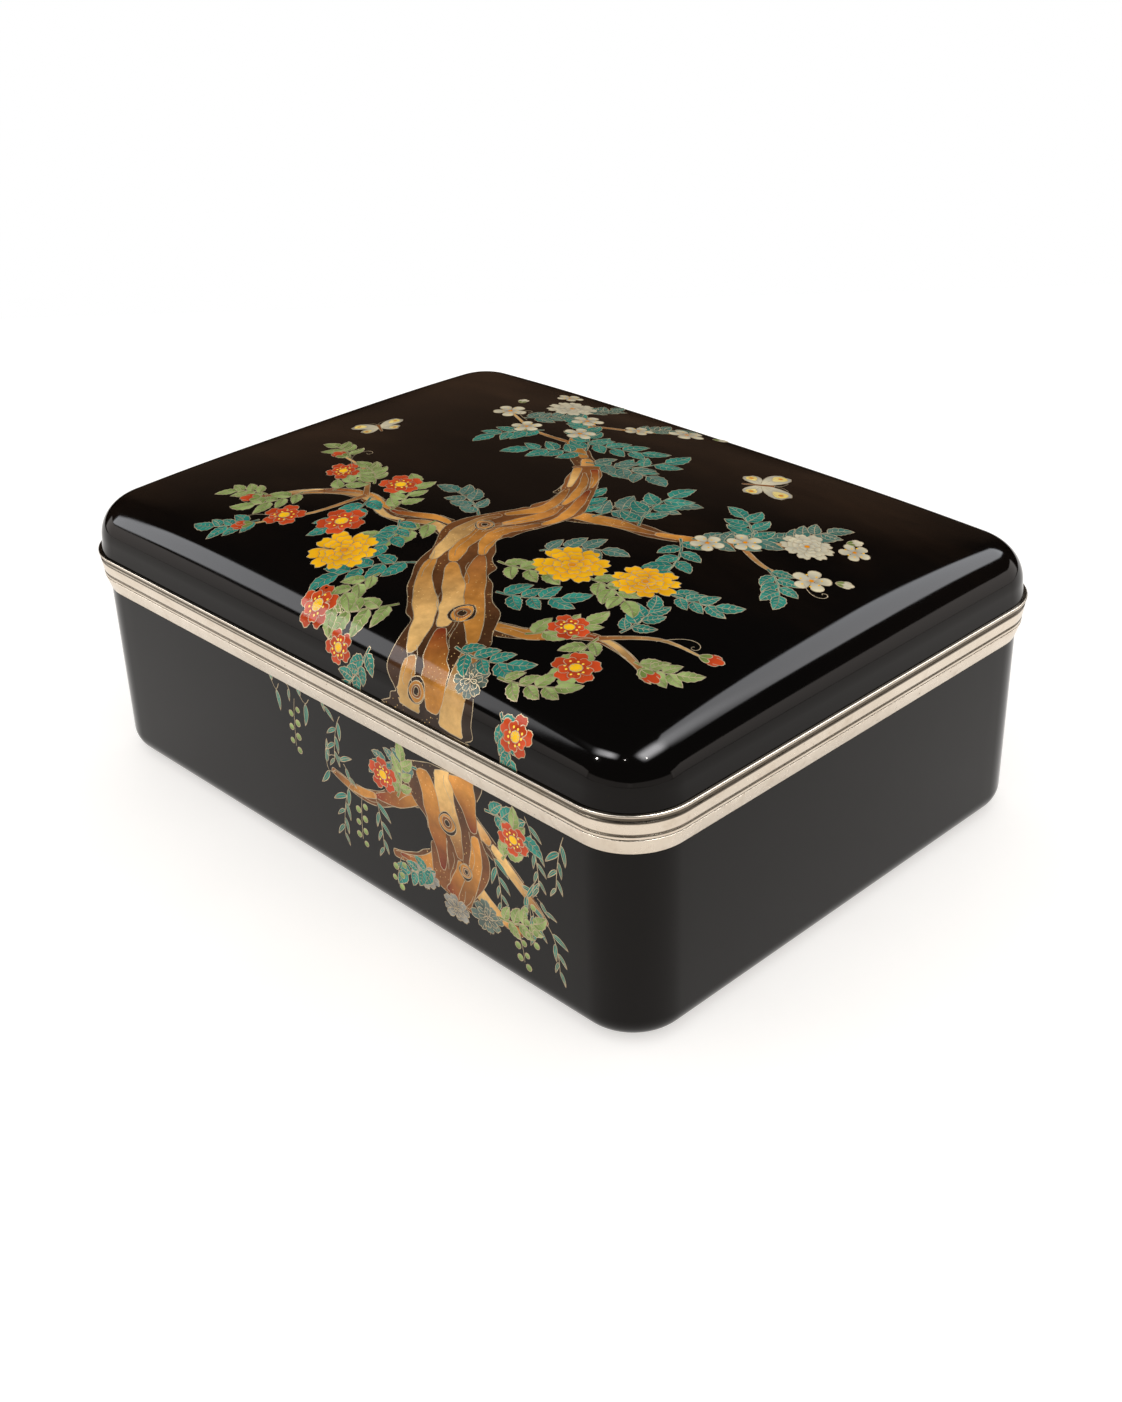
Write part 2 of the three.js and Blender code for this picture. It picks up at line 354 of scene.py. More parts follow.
class Nodes(Tree):
    """The nodes of a new material."""

    def __init__(self, name):
        self.material = bpy.data.materials.new(name)
        self.material.use_nodes = True
        super().__init__(self.material.node_tree)
        self.shader = self.tree.nodes["Principled BSDF"]
        self.place = self.add("ShaderNodeTexCoord").outputs["Object"]

    def set(self, **values):
        for key, value in values.items():
            self.shader.inputs[key.replace("_", " ")].default_value = value

    def noise(self, scale, detail=4.0, roughness=0.5, stretch=None):
        place = self.place
        if stretch:
            mapping = self.add("ShaderNodeMapping", {"Vector": place})
            mapping.inputs["Scale"].default_value = stretch
            place = mapping.outputs["Vector"]
        sockets = {"Vector": place, "Scale": scale, "Detail": detail, "Roughness": roughness}
        return self.add("ShaderNodeTexNoise", sockets).outputs["Fac"]

    def vary(self, start, end, *noise):
        """A value that wanders between the two from place to place."""
        return self.ramp(self.noise(*noise), 0.3, 0.7, start, end)

    def cells(self, scale):
        sockets = {"Vector": self.place, "Scale": scale}
        return self.add("ShaderNodeTexVoronoi", sockets).outputs["Distance"]

    def mix(self, factor, first, second):
        sockets = {"Factor": factor, 6: first, 7: second}
        return self.add("ShaderNodeMix", sockets, data_type="RGBA").outputs[2]

    def axis(self, name):
        return self.add("ShaderNodeSeparateXYZ", {"Vector": self.place}).outputs[name]

    def bump(self, height, distance, strength, under=None):
        sockets = {"Height": height, "Distance": distance, "Strength": strength}
        if under:
            sockets["Normal"] = under
        return self.add("ShaderNodeBump", sockets).outputs["Normal"]

    def finish(self, colour, roughness=None, normal=None):
        for key, source in (("Base Color", colour), ("Roughness", roughness), ("Normal", normal)):
            if source:
                self.feed(self.shader.inputs[key], source)
        return self.material


ENAMEL_SPECULAR = 0.15
ENAMEL_IOR = 1.5
SATIN_METALLIC = 0.55


def polished_normal(nodes):
    """Hand-ground glass: a slow waviness, and pores too small to see one by one."""
    waves = nodes.bump(nodes.noise(38, 2.0), 0.00012, 0.35)
    return nodes.bump(nodes.noise(1500, 2.0), 0.000004, 0.25, waves)


def black_enamel():
    """Black glass with brown clouds, painted strongest towards the back of the lid's top, where they
    stand partly for a warm reflection.
    """
    nodes = Nodes("black_enamel")
    clouds = nodes.ramp(nodes.noise(16, 5.0, 0.58, (0.8, 1.5, 1.0)), 0.42, 0.68)
    streaks = nodes.ramp(nodes.noise(60, 6.0, 0.65, (0.5, 1.6, 1.0)), 0.35, 0.75)
    # Painted reflection: the brown is held to the back of the lid's top, where a warm reflection
    # shows; the clouds in it are the glass's own.
    backward = nodes.math("SUBTRACT", nodes.axis("Y"), nodes.times(nodes.axis("X"), 0.45))
    painted_reflection_at_back = nodes.ramp(backward, -0.07, 0.11)
    upward = nodes.ramp(nodes.axis("Z"), 0.060, 0.078)
    strength = nodes.times(painted_reflection_at_back, upward)
    mottle = nodes.times(nodes.math("ADD", nodes.times(clouds, 0.8), 0.2), strength)
    brown = nodes.mix(streaks, (0.016, 0.008, 0.0045), (0.040, 0.021, 0.011))
    colour = nodes.mix(mottle, (0.0028, 0.0024, 0.0022), brown)
    roughness = nodes.vary(0.05, 0.09, 90)
    nodes.set(Specular_IOR_Level=ENAMEL_SPECULAR, IOR=ENAMEL_IOR)
    nodes.set(Specular_Tint=(1.0, 0.94, 0.90, 1.0))
    return nodes.finish(colour, roughness, polished_normal(nodes))


def lining_enamel():
    """Fire-polished counter-enamel, dark blue with paler flecks, as it is under work like this."""
    nodes = Nodes("lining_enamel")
    flecks = nodes.ramp(nodes.noise(900, 3.0, 0.7), 0.52, 0.72)
    clouds = nodes.ramp(nodes.noise(45), 0.35, 0.7)
    ground = nodes.mix(clouds, (0.012, 0.032, 0.075), (0.022, 0.058, 0.115))
    colour = nodes.mix(flecks, ground, (0.06, 0.15, 0.25))
    roughness = nodes.vary(0.10, 0.24, 120)
    peel = nodes.bump(nodes.noise(330, 2.0), 0.00008, 0.5)
    nodes.set(Specular_IOR_Level=ENAMEL_SPECULAR, IOR=ENAMEL_IOR)
    return nodes.finish(colour, roughness, peel)


def copper():
    """Sheet copper under the enamels: hammered and darkened by firing."""
    nodes = Nodes("copper")
    scale = nodes.ramp(nodes.noise(220, 5.0, 0.65), 0.42, 0.66)
    colour = nodes.mix(scale, (0.80, 0.38, 0.21), (0.22, 0.09, 0.06))
    roughness = nodes.vary(0.28, 0.55, 300)
    nodes.set(Metallic=1.0)
    return nodes.finish(colour, roughness, nodes.bump(nodes.cells(160), 0.0003, 0.4))


def silver(name, shade_and_tarnish_bands=(), satin_from=None, metallic=1.0):
    """Softly polished silver with fine pits.

    Each band of painted shade, with some tarnish, is its lowest and highest level, the softness of
    its edges and its depth.
    From the level satin_from on the metal is satin and free of the bands, as it is where the lid
    covers it.
    """
    nodes = Nodes(name)
    haze = nodes.vary(0.0, 1.0, 60)
    bloom = nodes.ramp(nodes.noise(330, 5.0, 0.65), 0.52, 0.80, 0.0, 0.55)
    pits = nodes.ramp(nodes.cells(520), 0.06, 0.14, 1.0, 0.0)
    pitting = nodes.times(pits, nodes.ramp(nodes.noise(150, 3.0), 0.56, 0.64))
    clean = nodes.mix(haze, (0.73, 0.64, 0.53), (0.65, 0.56, 0.45))
    colour = nodes.mix(bloom, clean, (0.46, 0.36, 0.26))
    roughness = nodes.vary(0.24, 0.34, 240)
    height = nodes.axis("Z")
    shade_and_tarnish = None
    for low, high, soft, depth in shade_and_tarnish_bands:
        above = nodes.ramp(height, (low - soft) * MM, (low + soft) * MM, 0.0, depth * 0.92)
        below = nodes.ramp(height, (high - soft) * MM, (high + soft) * MM, 1.0, 0.0)
        line = nodes.times(above, below)
        shade_and_tarnish = nodes.math("MAXIMUM", shade_and_tarnish, line) if shade_and_tarnish else line
    nodes.set(Metallic=metallic)
    if satin_from:
        satin = nodes.ramp(height, (satin_from - 0.01) * MM, (satin_from + 0.01) * MM)
        nodes.feed(nodes.shader.inputs["Metallic"], nodes.ramp(satin, 0, 1, 1.0, SATIN_METALLIC))
        roughness = nodes.math("ADD", roughness, nodes.times(satin, 0.12))
        if shade_and_tarnish:
            shade_and_tarnish = nodes.times(shade_and_tarnish, nodes.ramp(satin, 0, 1, 1.0, 0.0))
    if shade_and_tarnish:
        # Painted shade with some tarnish: each band darkens the silver towards a dark olive brown.
        colour = nodes.mix(shade_and_tarnish, colour, (0.060, 0.047, 0.032))
    dents = nodes.bump(nodes.noise(70, 2.0), 0.00008, 0.25)
    scuffs = nodes.bump(nodes.noise(420, 3.0, 0.6, (0.15, 0.15, 4.0)), 0.000006, 0.15, dents)
    pitted = nodes.mix(pitting, colour, (0.16, 0.11, 0.07))
    return nodes.finish(pitted, roughness, nodes.bump(pitting, -0.00003, 0.2, scuffs))


BLACK = black_enamel()
LINING = lining_enamel()
BASE_SILVER = silver("base_silver", (
    # Painted shade along the parting, under the lid's rim
    (BASE_HEIGHT - 0.34, BASE_HEIGHT + 1.0, 0.10, 1.0),
    # Painted shade, with some tarnish, in the groove under the fillet band
    (BASE_HEIGHT - FILLET_BAND - GROOVE, BASE_HEIGHT - FILLET_BAND, 0.08, 0.7),
), BASE_HEIGHT - 0.02)
LID_SILVER = silver("lid_silver", (
    # Painted shade along the parting at the lid's foot
    (LID_FOOT + 0.11, LID_FOOT + 0.30, 0.10, 1.0),
    # Painted shade, with some tarnish, in the cove
    (RIM_TOP - BEAD_HEIGHT - COVE_HEIGHT - 0.30, RIM_TOP - BEAD_HEIGHT + 0.25, 0.12, 1.0),
    # Painted shade that dims the highlight on the bead's upper rounding
    (RIM_TOP - 0.40, RIM_TOP + 1.0, 0.10, 0.45),
    # A painted contact shadow along the top face, where the rim meets the enamel
    (RIM_TOP - 0.03, RIM_TOP + 1.0, 0.02, 1.0),
))
FLANGE_SILVER = silver("flange_silver", metallic=SATIN_METALLIC)
COPPER = copper()

for node in ("base_copper_body", "lid_copper_body"):
    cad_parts[node].data.materials.clear()
    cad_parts[node].data.materials.append(COPPER)

SHELLS = (
    ("base_enamel", base_layer(0, ENAMEL_THICKNESS), BLACK, "base", "black_enamel"),
    ("base_lining", base_layer(LINING_DEPTH, LINING_THICKNESS), LINING, "base", "lining_enamel"),
    ("base_rim", swept_ring(base_rim_profile()), BASE_SILVER, "base", "silver"),
    ("base_flange", swept_ring(flange_profile()), FLANGE_SILVER, "base", "silver"),
    ("lid_enamel", lid_layer(0, ENAMEL_THICKNESS), BLACK, "lid", "black_enamel"),
    ("lid_lining", lid_layer(LINING_DEPTH, LINING_THICKNESS), LINING, "lid", "lining_enamel"),
    ("lid_rim", swept_ring(lid_rim_profile()), LID_SILVER, "lid", "silver"),
)
for node, (points, faces), material, body, slot in SHELLS:
    piece = new_piece(node + "_surface", points, faces, material, body)
    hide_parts(node)


# Artwork: cells of coloured glass between silver wires, ground flush with the black. It is drawn
# in millimetres on two faces. On the lid, u is X and v runs down the front: over the top, round
# the shoulder and down the wall. On the base's front wall, u is X and v is the height.
CELL_PROUD = 0.03
CELL_DEPTH = 0.2
GRID_STEP = 2.0 # between points inside the cells
EDGE_STEP = 1.6 # between points of outlines and wires
FINE_STEP = 1.0 # where the face bends sharply
NORMAL_REACH = 0.05 # from a point to those that its normal is worked out from
LEAST_STEP = 0.05 # closer points of an outline are dropped
LEAST_AREA = 0.05 # smaller cells are left out
SQUARE = 6.0 # cells are looked up by the squares that they touch
WIRE_WIDTH = 0.20
FINE_WIRE = WIRE_WIDTH * 0.6
STALK_WIRE = WIRE_WIDTH * 0.8
TENDRIL_WIRE = WIRE_WIDTH * 0.9
WIRE_PROUD = 0.045
PLATE_LENGTH = 26.0
PLATE_STEPS = 12
PLATE_REACH = 0.94 # share of a limb's half width that plates may cover
LID_TOP_EDGE = -(WIDTH / 2 - LID_BROW_INSET - SHOULDER_RADIUS)
LID_WALL_START = LID_TOP_EDGE - SHOULDER_RADIUS * math.pi / 2
LID_ART_FOOT = LID_WALL_START - (LID_WALL_TOP - LID_FOOT - RIM_HEIGHT) - 0.1
LID_ART_TOP = 72.0
BASE_ART_FOOT = BOTTOM_RADIUS + 0.5
BASE_ART_TOP = BASE_HEIGHT - RIM_HEIGHT + 0.1

chance = random.Random(11)


def lid_surface(u, v):
    top = LID_WALL_TOP + SHOULDER_RADIUS
    if v >= LID_TOP_EDGE:
        return Vector((u, v, top + crown(u, v)))
    angle = (LID_TOP_EDGE - v) / SHOULDER_RADIUS
    if v >= LID_WALL_START:
        y = LID_TOP_EDGE - SHOULDER_RADIUS * math.sin(angle)
        return Vector((u, y, top - SHOULDER_RADIUS * (1 - math.cos(angle)) + crown(u, y)))
    down = LID_WALL_START - v
    lean = LID_WALL_LEAN * down / (LID_WALL_TOP - LID_EDGE)
    return Vector((u, LID_BROW_INSET - WIDTH / 2 - lean, LID_WALL_TOP - down))


def base_surface(u, v):
    return Vector((u, BASE_WALL_INSET - WIDTH / 2, v))


def normal_of(surface, u, v):
    along = surface(u + NORMAL_REACH, v) - surface(u - NORMAL_REACH, v)
    across = surface(u, v + NORMAL_REACH) - surface(u, v - NORMAL_REACH)
    return along.cross(across).normalized()


def heading(angle):
    """Unit vector at that many degrees from u towards v."""
    return Vector((math.cos(math.radians(angle)), math.sin(math.radians(angle))))


def spline(points, steps, closed=False):
    """A smooth run of points through the given ones."""
    points = [Vector(point) for point in points]
    count = len(points)
    run = []
    for index in range(count if closed else count - 1):
        if closed:
            a, b, c, d = (points[(index + shift) % count] for shift in (-1, 0, 1, 2))
        else:
            a, b, c, d = (points[min(max(index + shift, 0), count - 1)] for shift in (-1, 0, 1, 2))
        for step in range(steps):
            t = step / steps
            run.append(0.5 * (2 * b + (c - a) * t + (2 * a - 5 * b + 4 * c - d) * t ** 2
                              + (3 * b - a - 3 * c + d) * t ** 3))
    return run if closed else run + [points[-1]]


def bounds_of(polygon):
    low = Vector((min(point.x for point in polygon), min(point.y for point in polygon)))
    high = Vector((max(point.x for point in polygon), max(point.y for point in polygon)))
    return low, high


def area(polygon):
    """Area of a polygon, negative where it runs clockwise."""
    return sum(polygon[index - 1].cross(here) for index, here in enumerate(polygon)) / 2


def inside(polygon, point):
    result = False
    before = polygon[-1]
    for here in polygon:
        if (here.y > point.y) != (before.y > point.y):
            crossing = here.x + (point.y - here.y) * (before.x - here.x) / (before.y - here.y)
            if point.x < crossing:
                result = not result
        before = here
    return result


def toned(colour, amount=0.12):
    """The colour, a little lighter or darker by chance."""
    factor = 1 + chance.uniform(-amount, amount)
    return tuple(channel_value * factor for channel_value in colour)


def blend(start, end, first, second):
    """A tint that runs from the first colour at start to the second at end."""
    axis = Vector(end) - Vector(start)
    length = max(axis.length_squared, 1e-6)

    def tint(point):
        t = min(max((point - Vector(start)).dot(axis) / length, 0), 1)
        return tuple(a + (b - a) * t for a, b in zip(first, second))
    return tint


def plain(colour):
    """A tint that is the same all over."""
    return lambda point: colour


def polar(centre, angle, radius, share=1.0):
    """The point that lies share of the radius from the centre, in the direction angle."""
    return Vector(centre) + heading(angle) * radius * share


class Drawing:
    """What is drawn on one face of a body: cells in painter's order, and wires.

    Where v is under fine_under, the face bends sharply and the meshes are finer.
    """

    def __init__(self, body, surface, lowest, highest, fine_under=-math.inf):
        self.body = body
        self.surface = surface
        self.lowest = lowest
        self.highest = highest
        self.fine_under = fine_under
        self.cells = []
        self.wires = []

    def clamp(self, point):
        return Vector((point.x, min(max(point.y, self.lowest), self.highest)))

    def step_at(self, v, usual):
        """How far apart points may lie at that v."""
        return FINE_STEP if v < self.fine_under else usual

    def dense(self, points, closed):
        """The points with more between them."""
        run = []
        count = len(points)
        for index in range(count if closed else count - 1):
            here, ahead = points[index], points[(index + 1) % count]
            step = self.step_at(min(here.y, ahead.y), EDGE_STEP)
            parts = max(1, math.ceil((ahead - here).length / step))
            run += [here.lerp(ahead, part / parts) for part in range(parts)]
        return run if closed else run + [points[-1]]

    def cell(self, kind, polygon, tint, wired=True):
        polygon = [self.clamp(Vector(point)) for point in polygon]
        kept = [point for index, point in enumerate(polygon)
                if (point - polygon[index - 1]).length > LEAST_STEP]
        kept = [point for index, point in enumerate(kept)
                if not kept[index - 1].y == point.y == kept[(index + 1) % len(kept)].y]
        if len(kept) < 3 or abs(area(kept)) < LEAST_AREA:
            return
        if area(kept) < 0:
            kept.reverse()
        kept = self.dense(kept, True)
        self.cells.append((kind, kept, tint))
        if wired:
            self.wires.append((len(self.cells), kept, WIRE_WIDTH, True))

    def wire(self, points, width=WIRE_WIDTH):
        points = [self.clamp(Vector(point)) for point in points]
        self.wires.append((len(self.cells), self.dense(points, False), width, False))

    def build(self, materials, slots):
        """Lays the cells down as one flat mosaic, and makes one object for each kind of cell."""
        runs = [polygon for kind, polygon, tint in self.cells]
        points = [point for polygon in runs for point in polygon]
        rings = []
        start = 0
        for polygon in runs:
            rings.append(list(range(start, start + len(polygon))))
            start += len(polygon)
        edges = [(ring[index - 1], ring[index]) for ring in rings for index in range(len(ring))]
        points += self.inner_points(runs)
        found = delaunay_2d_cdt(points, edges, rings, 1, 0.001)
        flat, triangles, owners = found[0], found[2], found[5]
        for kind in materials:
            mine = [(triangle, max(owner)) for triangle, owner in zip(triangles, owners)
                    if owner and self.cells[max(owner)][0] == kind]
            if mine:
                self.mosaic(kind, flat, mine, materials[kind], slots[kind])
        points, faces = self.wire_mesh()
        piece = new_piece(f"{self.body}_wires", points, faces, WIRE, self.body, 60)

    def inner_points(self, runs):
        """A grid of points, close enough for the mesh to follow the face."""
        low, high = bounds_of([point for polygon in runs for point in polygon])
        inner = []
        v = low.y
        while v < high.y:
            inner += [Vector((low.x + GRID_STEP * index, v))
                      for index in range(math.ceil((high.x - low.x) / GRID_STEP))]
            v += self.step_at(v, GRID_STEP)
        return inner

    def mosaic(self, kind, flat, mine, material, slot):
        """A thin slab of the cells of one kind, each corner of its faces with its cell's tone."""
        numbers = {}
        for triangle, owner in mine:
            for corner in triangle:
                numbers.setdefault(corner, len(numbers))
        count = len(numbers)
        points, normals, faces, tones, used = [], [], [], [], {}
        for depth, facing in ((CELL_PROUD, 1), (-CELL_DEPTH, -1)):
            for corner in numbers:
                u, v = flat[corner]
                up = normal_of(self.surface, u, v)
                points.append(self.surface(u, v) + up * depth)
                normals.append(up * facing)
        for (a, b, c), owner in mine:
            if (flat[b] - flat[a]).cross(flat[c] - flat[a]) < 0:
                b, c = c, b
            tint = self.cells[owner][2]
            shades = [(*tint(flat[corner]), 1.0) for corner in (a, b, c)]
            a, b, c = (numbers[corner] for corner in (a, b, c))
            faces += [(a, b, c), (count + a, count + c, count + b)]
            tones += shades + [shades[0], shades[2], shades[1]]
            for pair, shade in (((a, b), shades[0]), ((b, c), shades[1]), ((c, a), shades[2])):
                if used.pop((pair[1], pair[0]), None) is None:
                    used[pair] = shade
        for (a, b), shade in used.items():
            faces.append((b, a, count + a, count + b))
            tones += [shade] * 4
        piece = new_piece(f"{self.body}_{kind}_cells", points, faces, material, self.body)
        attribute = piece.data.attributes.new("tone", "FLOAT_COLOR", "CORNER")
        attribute.data.foreach_set("color", [value for tone in tones for value in tone])
        piece.data.normals_split_custom_set_from_vertices(normals)

    def covered(self, order, point):
        """Whether a cell from that place in the order on lies over the point."""
        square = (math.floor(point.x / SQUARE), math.floor(point.y / SQUARE))
        return any(place >= order and low.x < point.x < high.x and low.y < point.y < high.y
                   and inside(self.cells[place][1], point)
                   for place, low, high in self.squares.get(square, ()))

    def wire_mesh(self):
        """All wires, each left out where a later cell covers it."""
        self.squares = {}
        for place, (kind, polygon, tint) in enumerate(self.cells):
            low, high = bounds_of(polygon)
            for column in range(math.floor(low.x / SQUARE), math.floor(high.x / SQUARE) + 1):
                for row in range(math.floor(low.y / SQUARE), math.floor(high.y / SQUARE) + 1):
                    self.squares.setdefault((column, row), []).append((place, low, high))
        points, faces = [], []
        for order, run, width, closed in self.wires:
            shown = [not self.covered(order, point) for point in run]
            if all(shown):
                self.add_wire(points, faces, run, width, closed)
                continue
            start = shown.index(False) if closed else 0
            part = []
            for index in range(len(run) + 1):
                at = (start + index) % len(run)
                if index < len(run) and shown[at]:
                    part.append(run[at])
                    continue
                if len(part) > 1:
                    self.add_wire(points, faces, part, width, False)
                part = []
        return points, faces

    def add_wire(self, points, faces, run, width, closed):
        start = len(points)
        count = len(run)
        for index, point in enumerate(run):
            before = run[index - 1] if closed or index > 0 else point
            after = run[(index + 1) % count] if closed or index < count - 1 else point
            along = (after - before).normalized()
            side = Vector((-along.y, along.x)) * width / 2
            up = normal_of(self.surface, point.x, point.y)
            points.append(self.surface(*(point + side)) + up * CELL_PROUD)
            points.append(self.surface(*point) + up * WIRE_PROUD)
            points.append(self.surface(*(point - side)) + up * CELL_PROUD)
            points.append(self.surface(*point) - up * CELL_DEPTH)
        for index in range(count if closed else count - 1):
            here = start + 4 * index
            ahead = start + 4 * ((index + 1) % count)
            for corner in range(4):
                other = (corner + 1) % 4
                faces.append((here + corner, here + other, ahead + other, ahead + corner))
        if not closed:
            faces.append((start + 3, start + 2, start + 1, start))
            last = start + 4 * (count - 1)
            faces.append((last, last + 1, last + 2, last + 3))


TEAL = (0.034, 0.262, 0.195)
DEEP_TEAL = (0.015, 0.135, 0.110)
SEA_GREY = (0.120, 0.185, 0.150)
OLIVE = (0.150, 0.215, 0.050)
PALE_GREEN = (0.330, 0.420, 0.150)
FLAME = (0.580, 0.070, 0.016)
BRICK = (0.300, 0.026, 0.010)
GOLD = (0.900, 0.500, 0.010)
AMBER = (0.720, 0.250, 0.006)
LEMON = (0.930, 0.680, 0.080)
CREAM = (0.720, 0.640, 0.430)
ASH = (0.330, 0.320, 0.280)
OCHRE = (0.520, 0.215, 0.040)
TAN = (0.620, 0.370, 0.130)
UMBER = (0.230, 0.080, 0.022)
MAROON = (0.170, 0.022, 0.009)
SLATE = (0.085, 0.080, 0.068)
CLEFT = (0.030, 0.016, 0.009)
SAND = (0.680, 0.430, 0.190)
GREENS = (PALE_GREEN, OLIVE)
TEALS = (TEAL, DEEP_TEAL)
GREYS = (SEA_GREY, DEEP_TEAL)


def walk(root, turns, length):
    """A run of that length from the root, in equal steps, one towards each of the turns."""
    run = [Vector(root)]
    for turn in turns:
        run.append(run[-1] + heading(turn) * length / len(turns))
    return run


def hang(root, angle, length, steps, end_angle, power):
    """A run that sets out at one angle and comes to hang at the other."""
    turns = [angle + (end_angle - angle) * (step / steps) ** power for step in range(steps)]
    return walk(root, turns, length)


def leaf(art, root, angle, length, light, dark, bend, width=0.30, teeth=0.14, veins=True):
    """A pointed leaf of two cells, one on each side of a bent midrib."""
    steps = 10
    place = Vector(root)
    rib, edges = [place], ([place], [place])
    for step in range(1, steps + 1):
        t = step / steps
        along = heading(angle + bend * (t - 0.4))
        place = place + along * length / steps
        across = Vector((-along.y, along.x))
        half = length * width * math.sin(math.pi * t ** 0.72) ** 0.85
        half *= 1 - teeth * (step % 2)
        rib.append(place)
        edges[0].append(place + across * half)
        edges[1].append(place - across * half)
    halves = ((edges[0], toned(light), toned(dark)), (edges[1], toned(dark), toned(light, 0.2)))
    for edge, near, far in halves:
        art.cell("leaf", rib + edge[-2:0:-1], blend(root, place, near, far))
    if veins:
        for step in (3, 5, 7):
            for edge in edges:
                art.wire([rib[step - 1], edge[step].lerp(rib[step], 0.35)], FINE_WIRE)


def stations(run, start_width, end_width):
    """The points of a tapering strip's middle line, each with its left and its half width."""
    last = len(run) - 1
    found = []
    for index, point in enumerate(run):
        along = (run[min(index + 1, last)] - run[max(index - 1, 0)]).normalized()
        half = (start_width + (end_width - start_width) * index / last) / 2
        found.append((point, Vector((-along.y, along.x)), half))
    return found


def taper(run, start_width, end_width):
    """Outline of a tapering strip along the run."""
    strip = stations(run, start_width, end_width)
    left = [point + across * half for point, across, half in strip]
    right = [point - across * half for point, across, half in strip]
    return left + right[::-1]


def twig(art, points, start_width, end_width, light=TAN, dark=UMBER):
    """A thin stem that runs through the points."""
    run = spline(points, 5)
    tint = blend(run[0], run[-1], toned(dark), toned(light))
    art.cell("bark", taper(run, start_width, end_width), tint)


def spray(art, root, angle, length, leaf_length, light, dark, bend):
    """A stem with leaves to both sides and one at its tip."""
    steps = 7
    turns = [angle + bend * (step / steps - 0.5) for step in range(steps)]
    stem = walk(root, turns, length)
    twig(art, stem, 0.7, 0.4, light, dark)
    for index, (point, turn) in enumerate(zip(stem[1:], turns[1:]), 1):
        side = 1 if index % 2 else -1
        size = leaf_length * chance.uniform(0.82, 1.1)
        leaf(art, point, turn + side * chance.uniform(42, 62), size, light, dark, -side * 30)
    leaf(art, stem[-1], angle + bend / 2, leaf_length * 1.1, light, dark, bend)


def sprays(art, bend, rows):
    """Draws a spray for each row, bent one way or the other by chance."""
    for u, v, angle, length, size, tones in rows:
        spray(art, (u, v), angle, length, size, *tones, chance.choice((-bend, bend)))


def slanted(offset, squash, lean):
    """The offset, shortened to the share squash in the direction lean."""
    axis = heading(lean)
    return offset - axis * offset.dot(axis) * (1 - squash)


def petal(centre, angle, inner, outer, breadth, notch, squash, lean):
    """Outline of a petal, seen at a slant where squash is under 1 along the lean direction."""
    steps = 14
    along, across = heading(angle), heading(angle + 90)
    points = []
    for step in range(steps + 1):
        turn = math.pi * 2 * step / steps - math.pi
        reach = 0.5 + 0.5 * math.cos(turn)
        dip = notch * max(0, 1 - abs(turn) * 3)
        far = inner + (outer - inner) * (reach - dip)
        wide = breadth * math.sin(turn) * (0.45 + 0.55 * reach)
        points.append(Vector(centre) + slanted(along * far + across * wide, squash, lean))
    return points[:-1]


def disc(centre, radius, squash=1.0, lean=90.0, points=10):
    return [Vector(centre) + slanted(heading(360 * index / points) * radius, squash, lean)
            for index in range(points)]


def stamens(art, centre, radius, count, colour, squash, lean):
    for index in range(count):
        along = heading(360 * index / count + chance.uniform(-8, 8))
        offset = slanted(along * radius * chance.uniform(0.8, 1.1), squash, lean)
        tip = Vector(centre) + offset
        art.wire([Vector(centre) + offset * 0.3, tip], FINE_WIRE)
        art.cell("petal", disc(tip, 0.32, points=6), plain(colour), wired=False)


def camellia(art, centre, radius, turn, squash, lean):
    """A single bloom: two rings of broad petals round a boss of stamens."""
    for ring, (count, reach, breadth) in enumerate(((5, 1.0, 0.46), (5, 0.70, 0.33))):
        for index in range(count):
            angle = turn + 360 / count * (index + ring / 2)
            polygon = petal(centre, angle, radius * 0.08, radius * reach, radius * breadth, 0.10,
                            squash, lean)
            tip = polar(centre, angle, radius, reach)
            art.cell("petal", polygon, blend(centre, tip, toned(BRICK, 0.2), toned(FLAME, 0.2)))
            if squash > 0.9 and ring == 0:
                art.wire([polar(centre, angle, radius, part) for part in (0.35, 0.6)], FINE_WIRE)
    art.cell("petal", disc(centre, radius * 0.26, squash, lean), plain(GOLD))
    stamens(art, centre, radius * 0.42, 9, LEMON, squash, lean)


def peony(art, centre, radius, turn, squash, lean, outer=GOLD, inner=AMBER):
    """A full bloom of four rings of notched petals."""
    rings = ((9, 1.0, 0.30, 0.30), (8, 0.76, 0.27, 0.24), (7, 0.53, 0.22, 0.16), (5, 0.31, 0.17, 0.0))
    for ring, (count, reach, breadth, start) in enumerate(rings):
        for index in range(count):
            angle = turn + 360 / count * (index + ring / 2) + chance.uniform(-5, 5)
            size = radius * chance.uniform(0.93, 1.05)
            polygon = petal(centre, angle, size * start, size * reach, size * breadth, 0.14,
                            squash, lean)
            root, tip = polar(centre, angle, size, start), polar(centre, angle, size, reach)
            art.cell("petal", polygon, blend(root, tip, toned(inner), toned(outer, 0.08)))
    art.cell("petal", disc(centre, radius * 0.10), plain(AMBER))


def plum(art, centre, radius, turn, squash, lean):
    """A small five-petalled blossom with long stamens."""
    for index in range(5):
        angle = turn + 72 * index
        polygon = petal(centre, angle, radius * 0.12, radius, radius * 0.44, 0.0, squash, lean)
        tip = polar(centre, angle, radius)
        art.cell("petal", polygon, blend(centre, tip, toned(ASH, 0.2), toned(CREAM, 0.1)))
    stamens(art, centre, radius * 0.55, 7, GOLD, squash, lean)
    art.cell("petal", disc(centre, radius * 0.15, points=7), plain(AMBER))


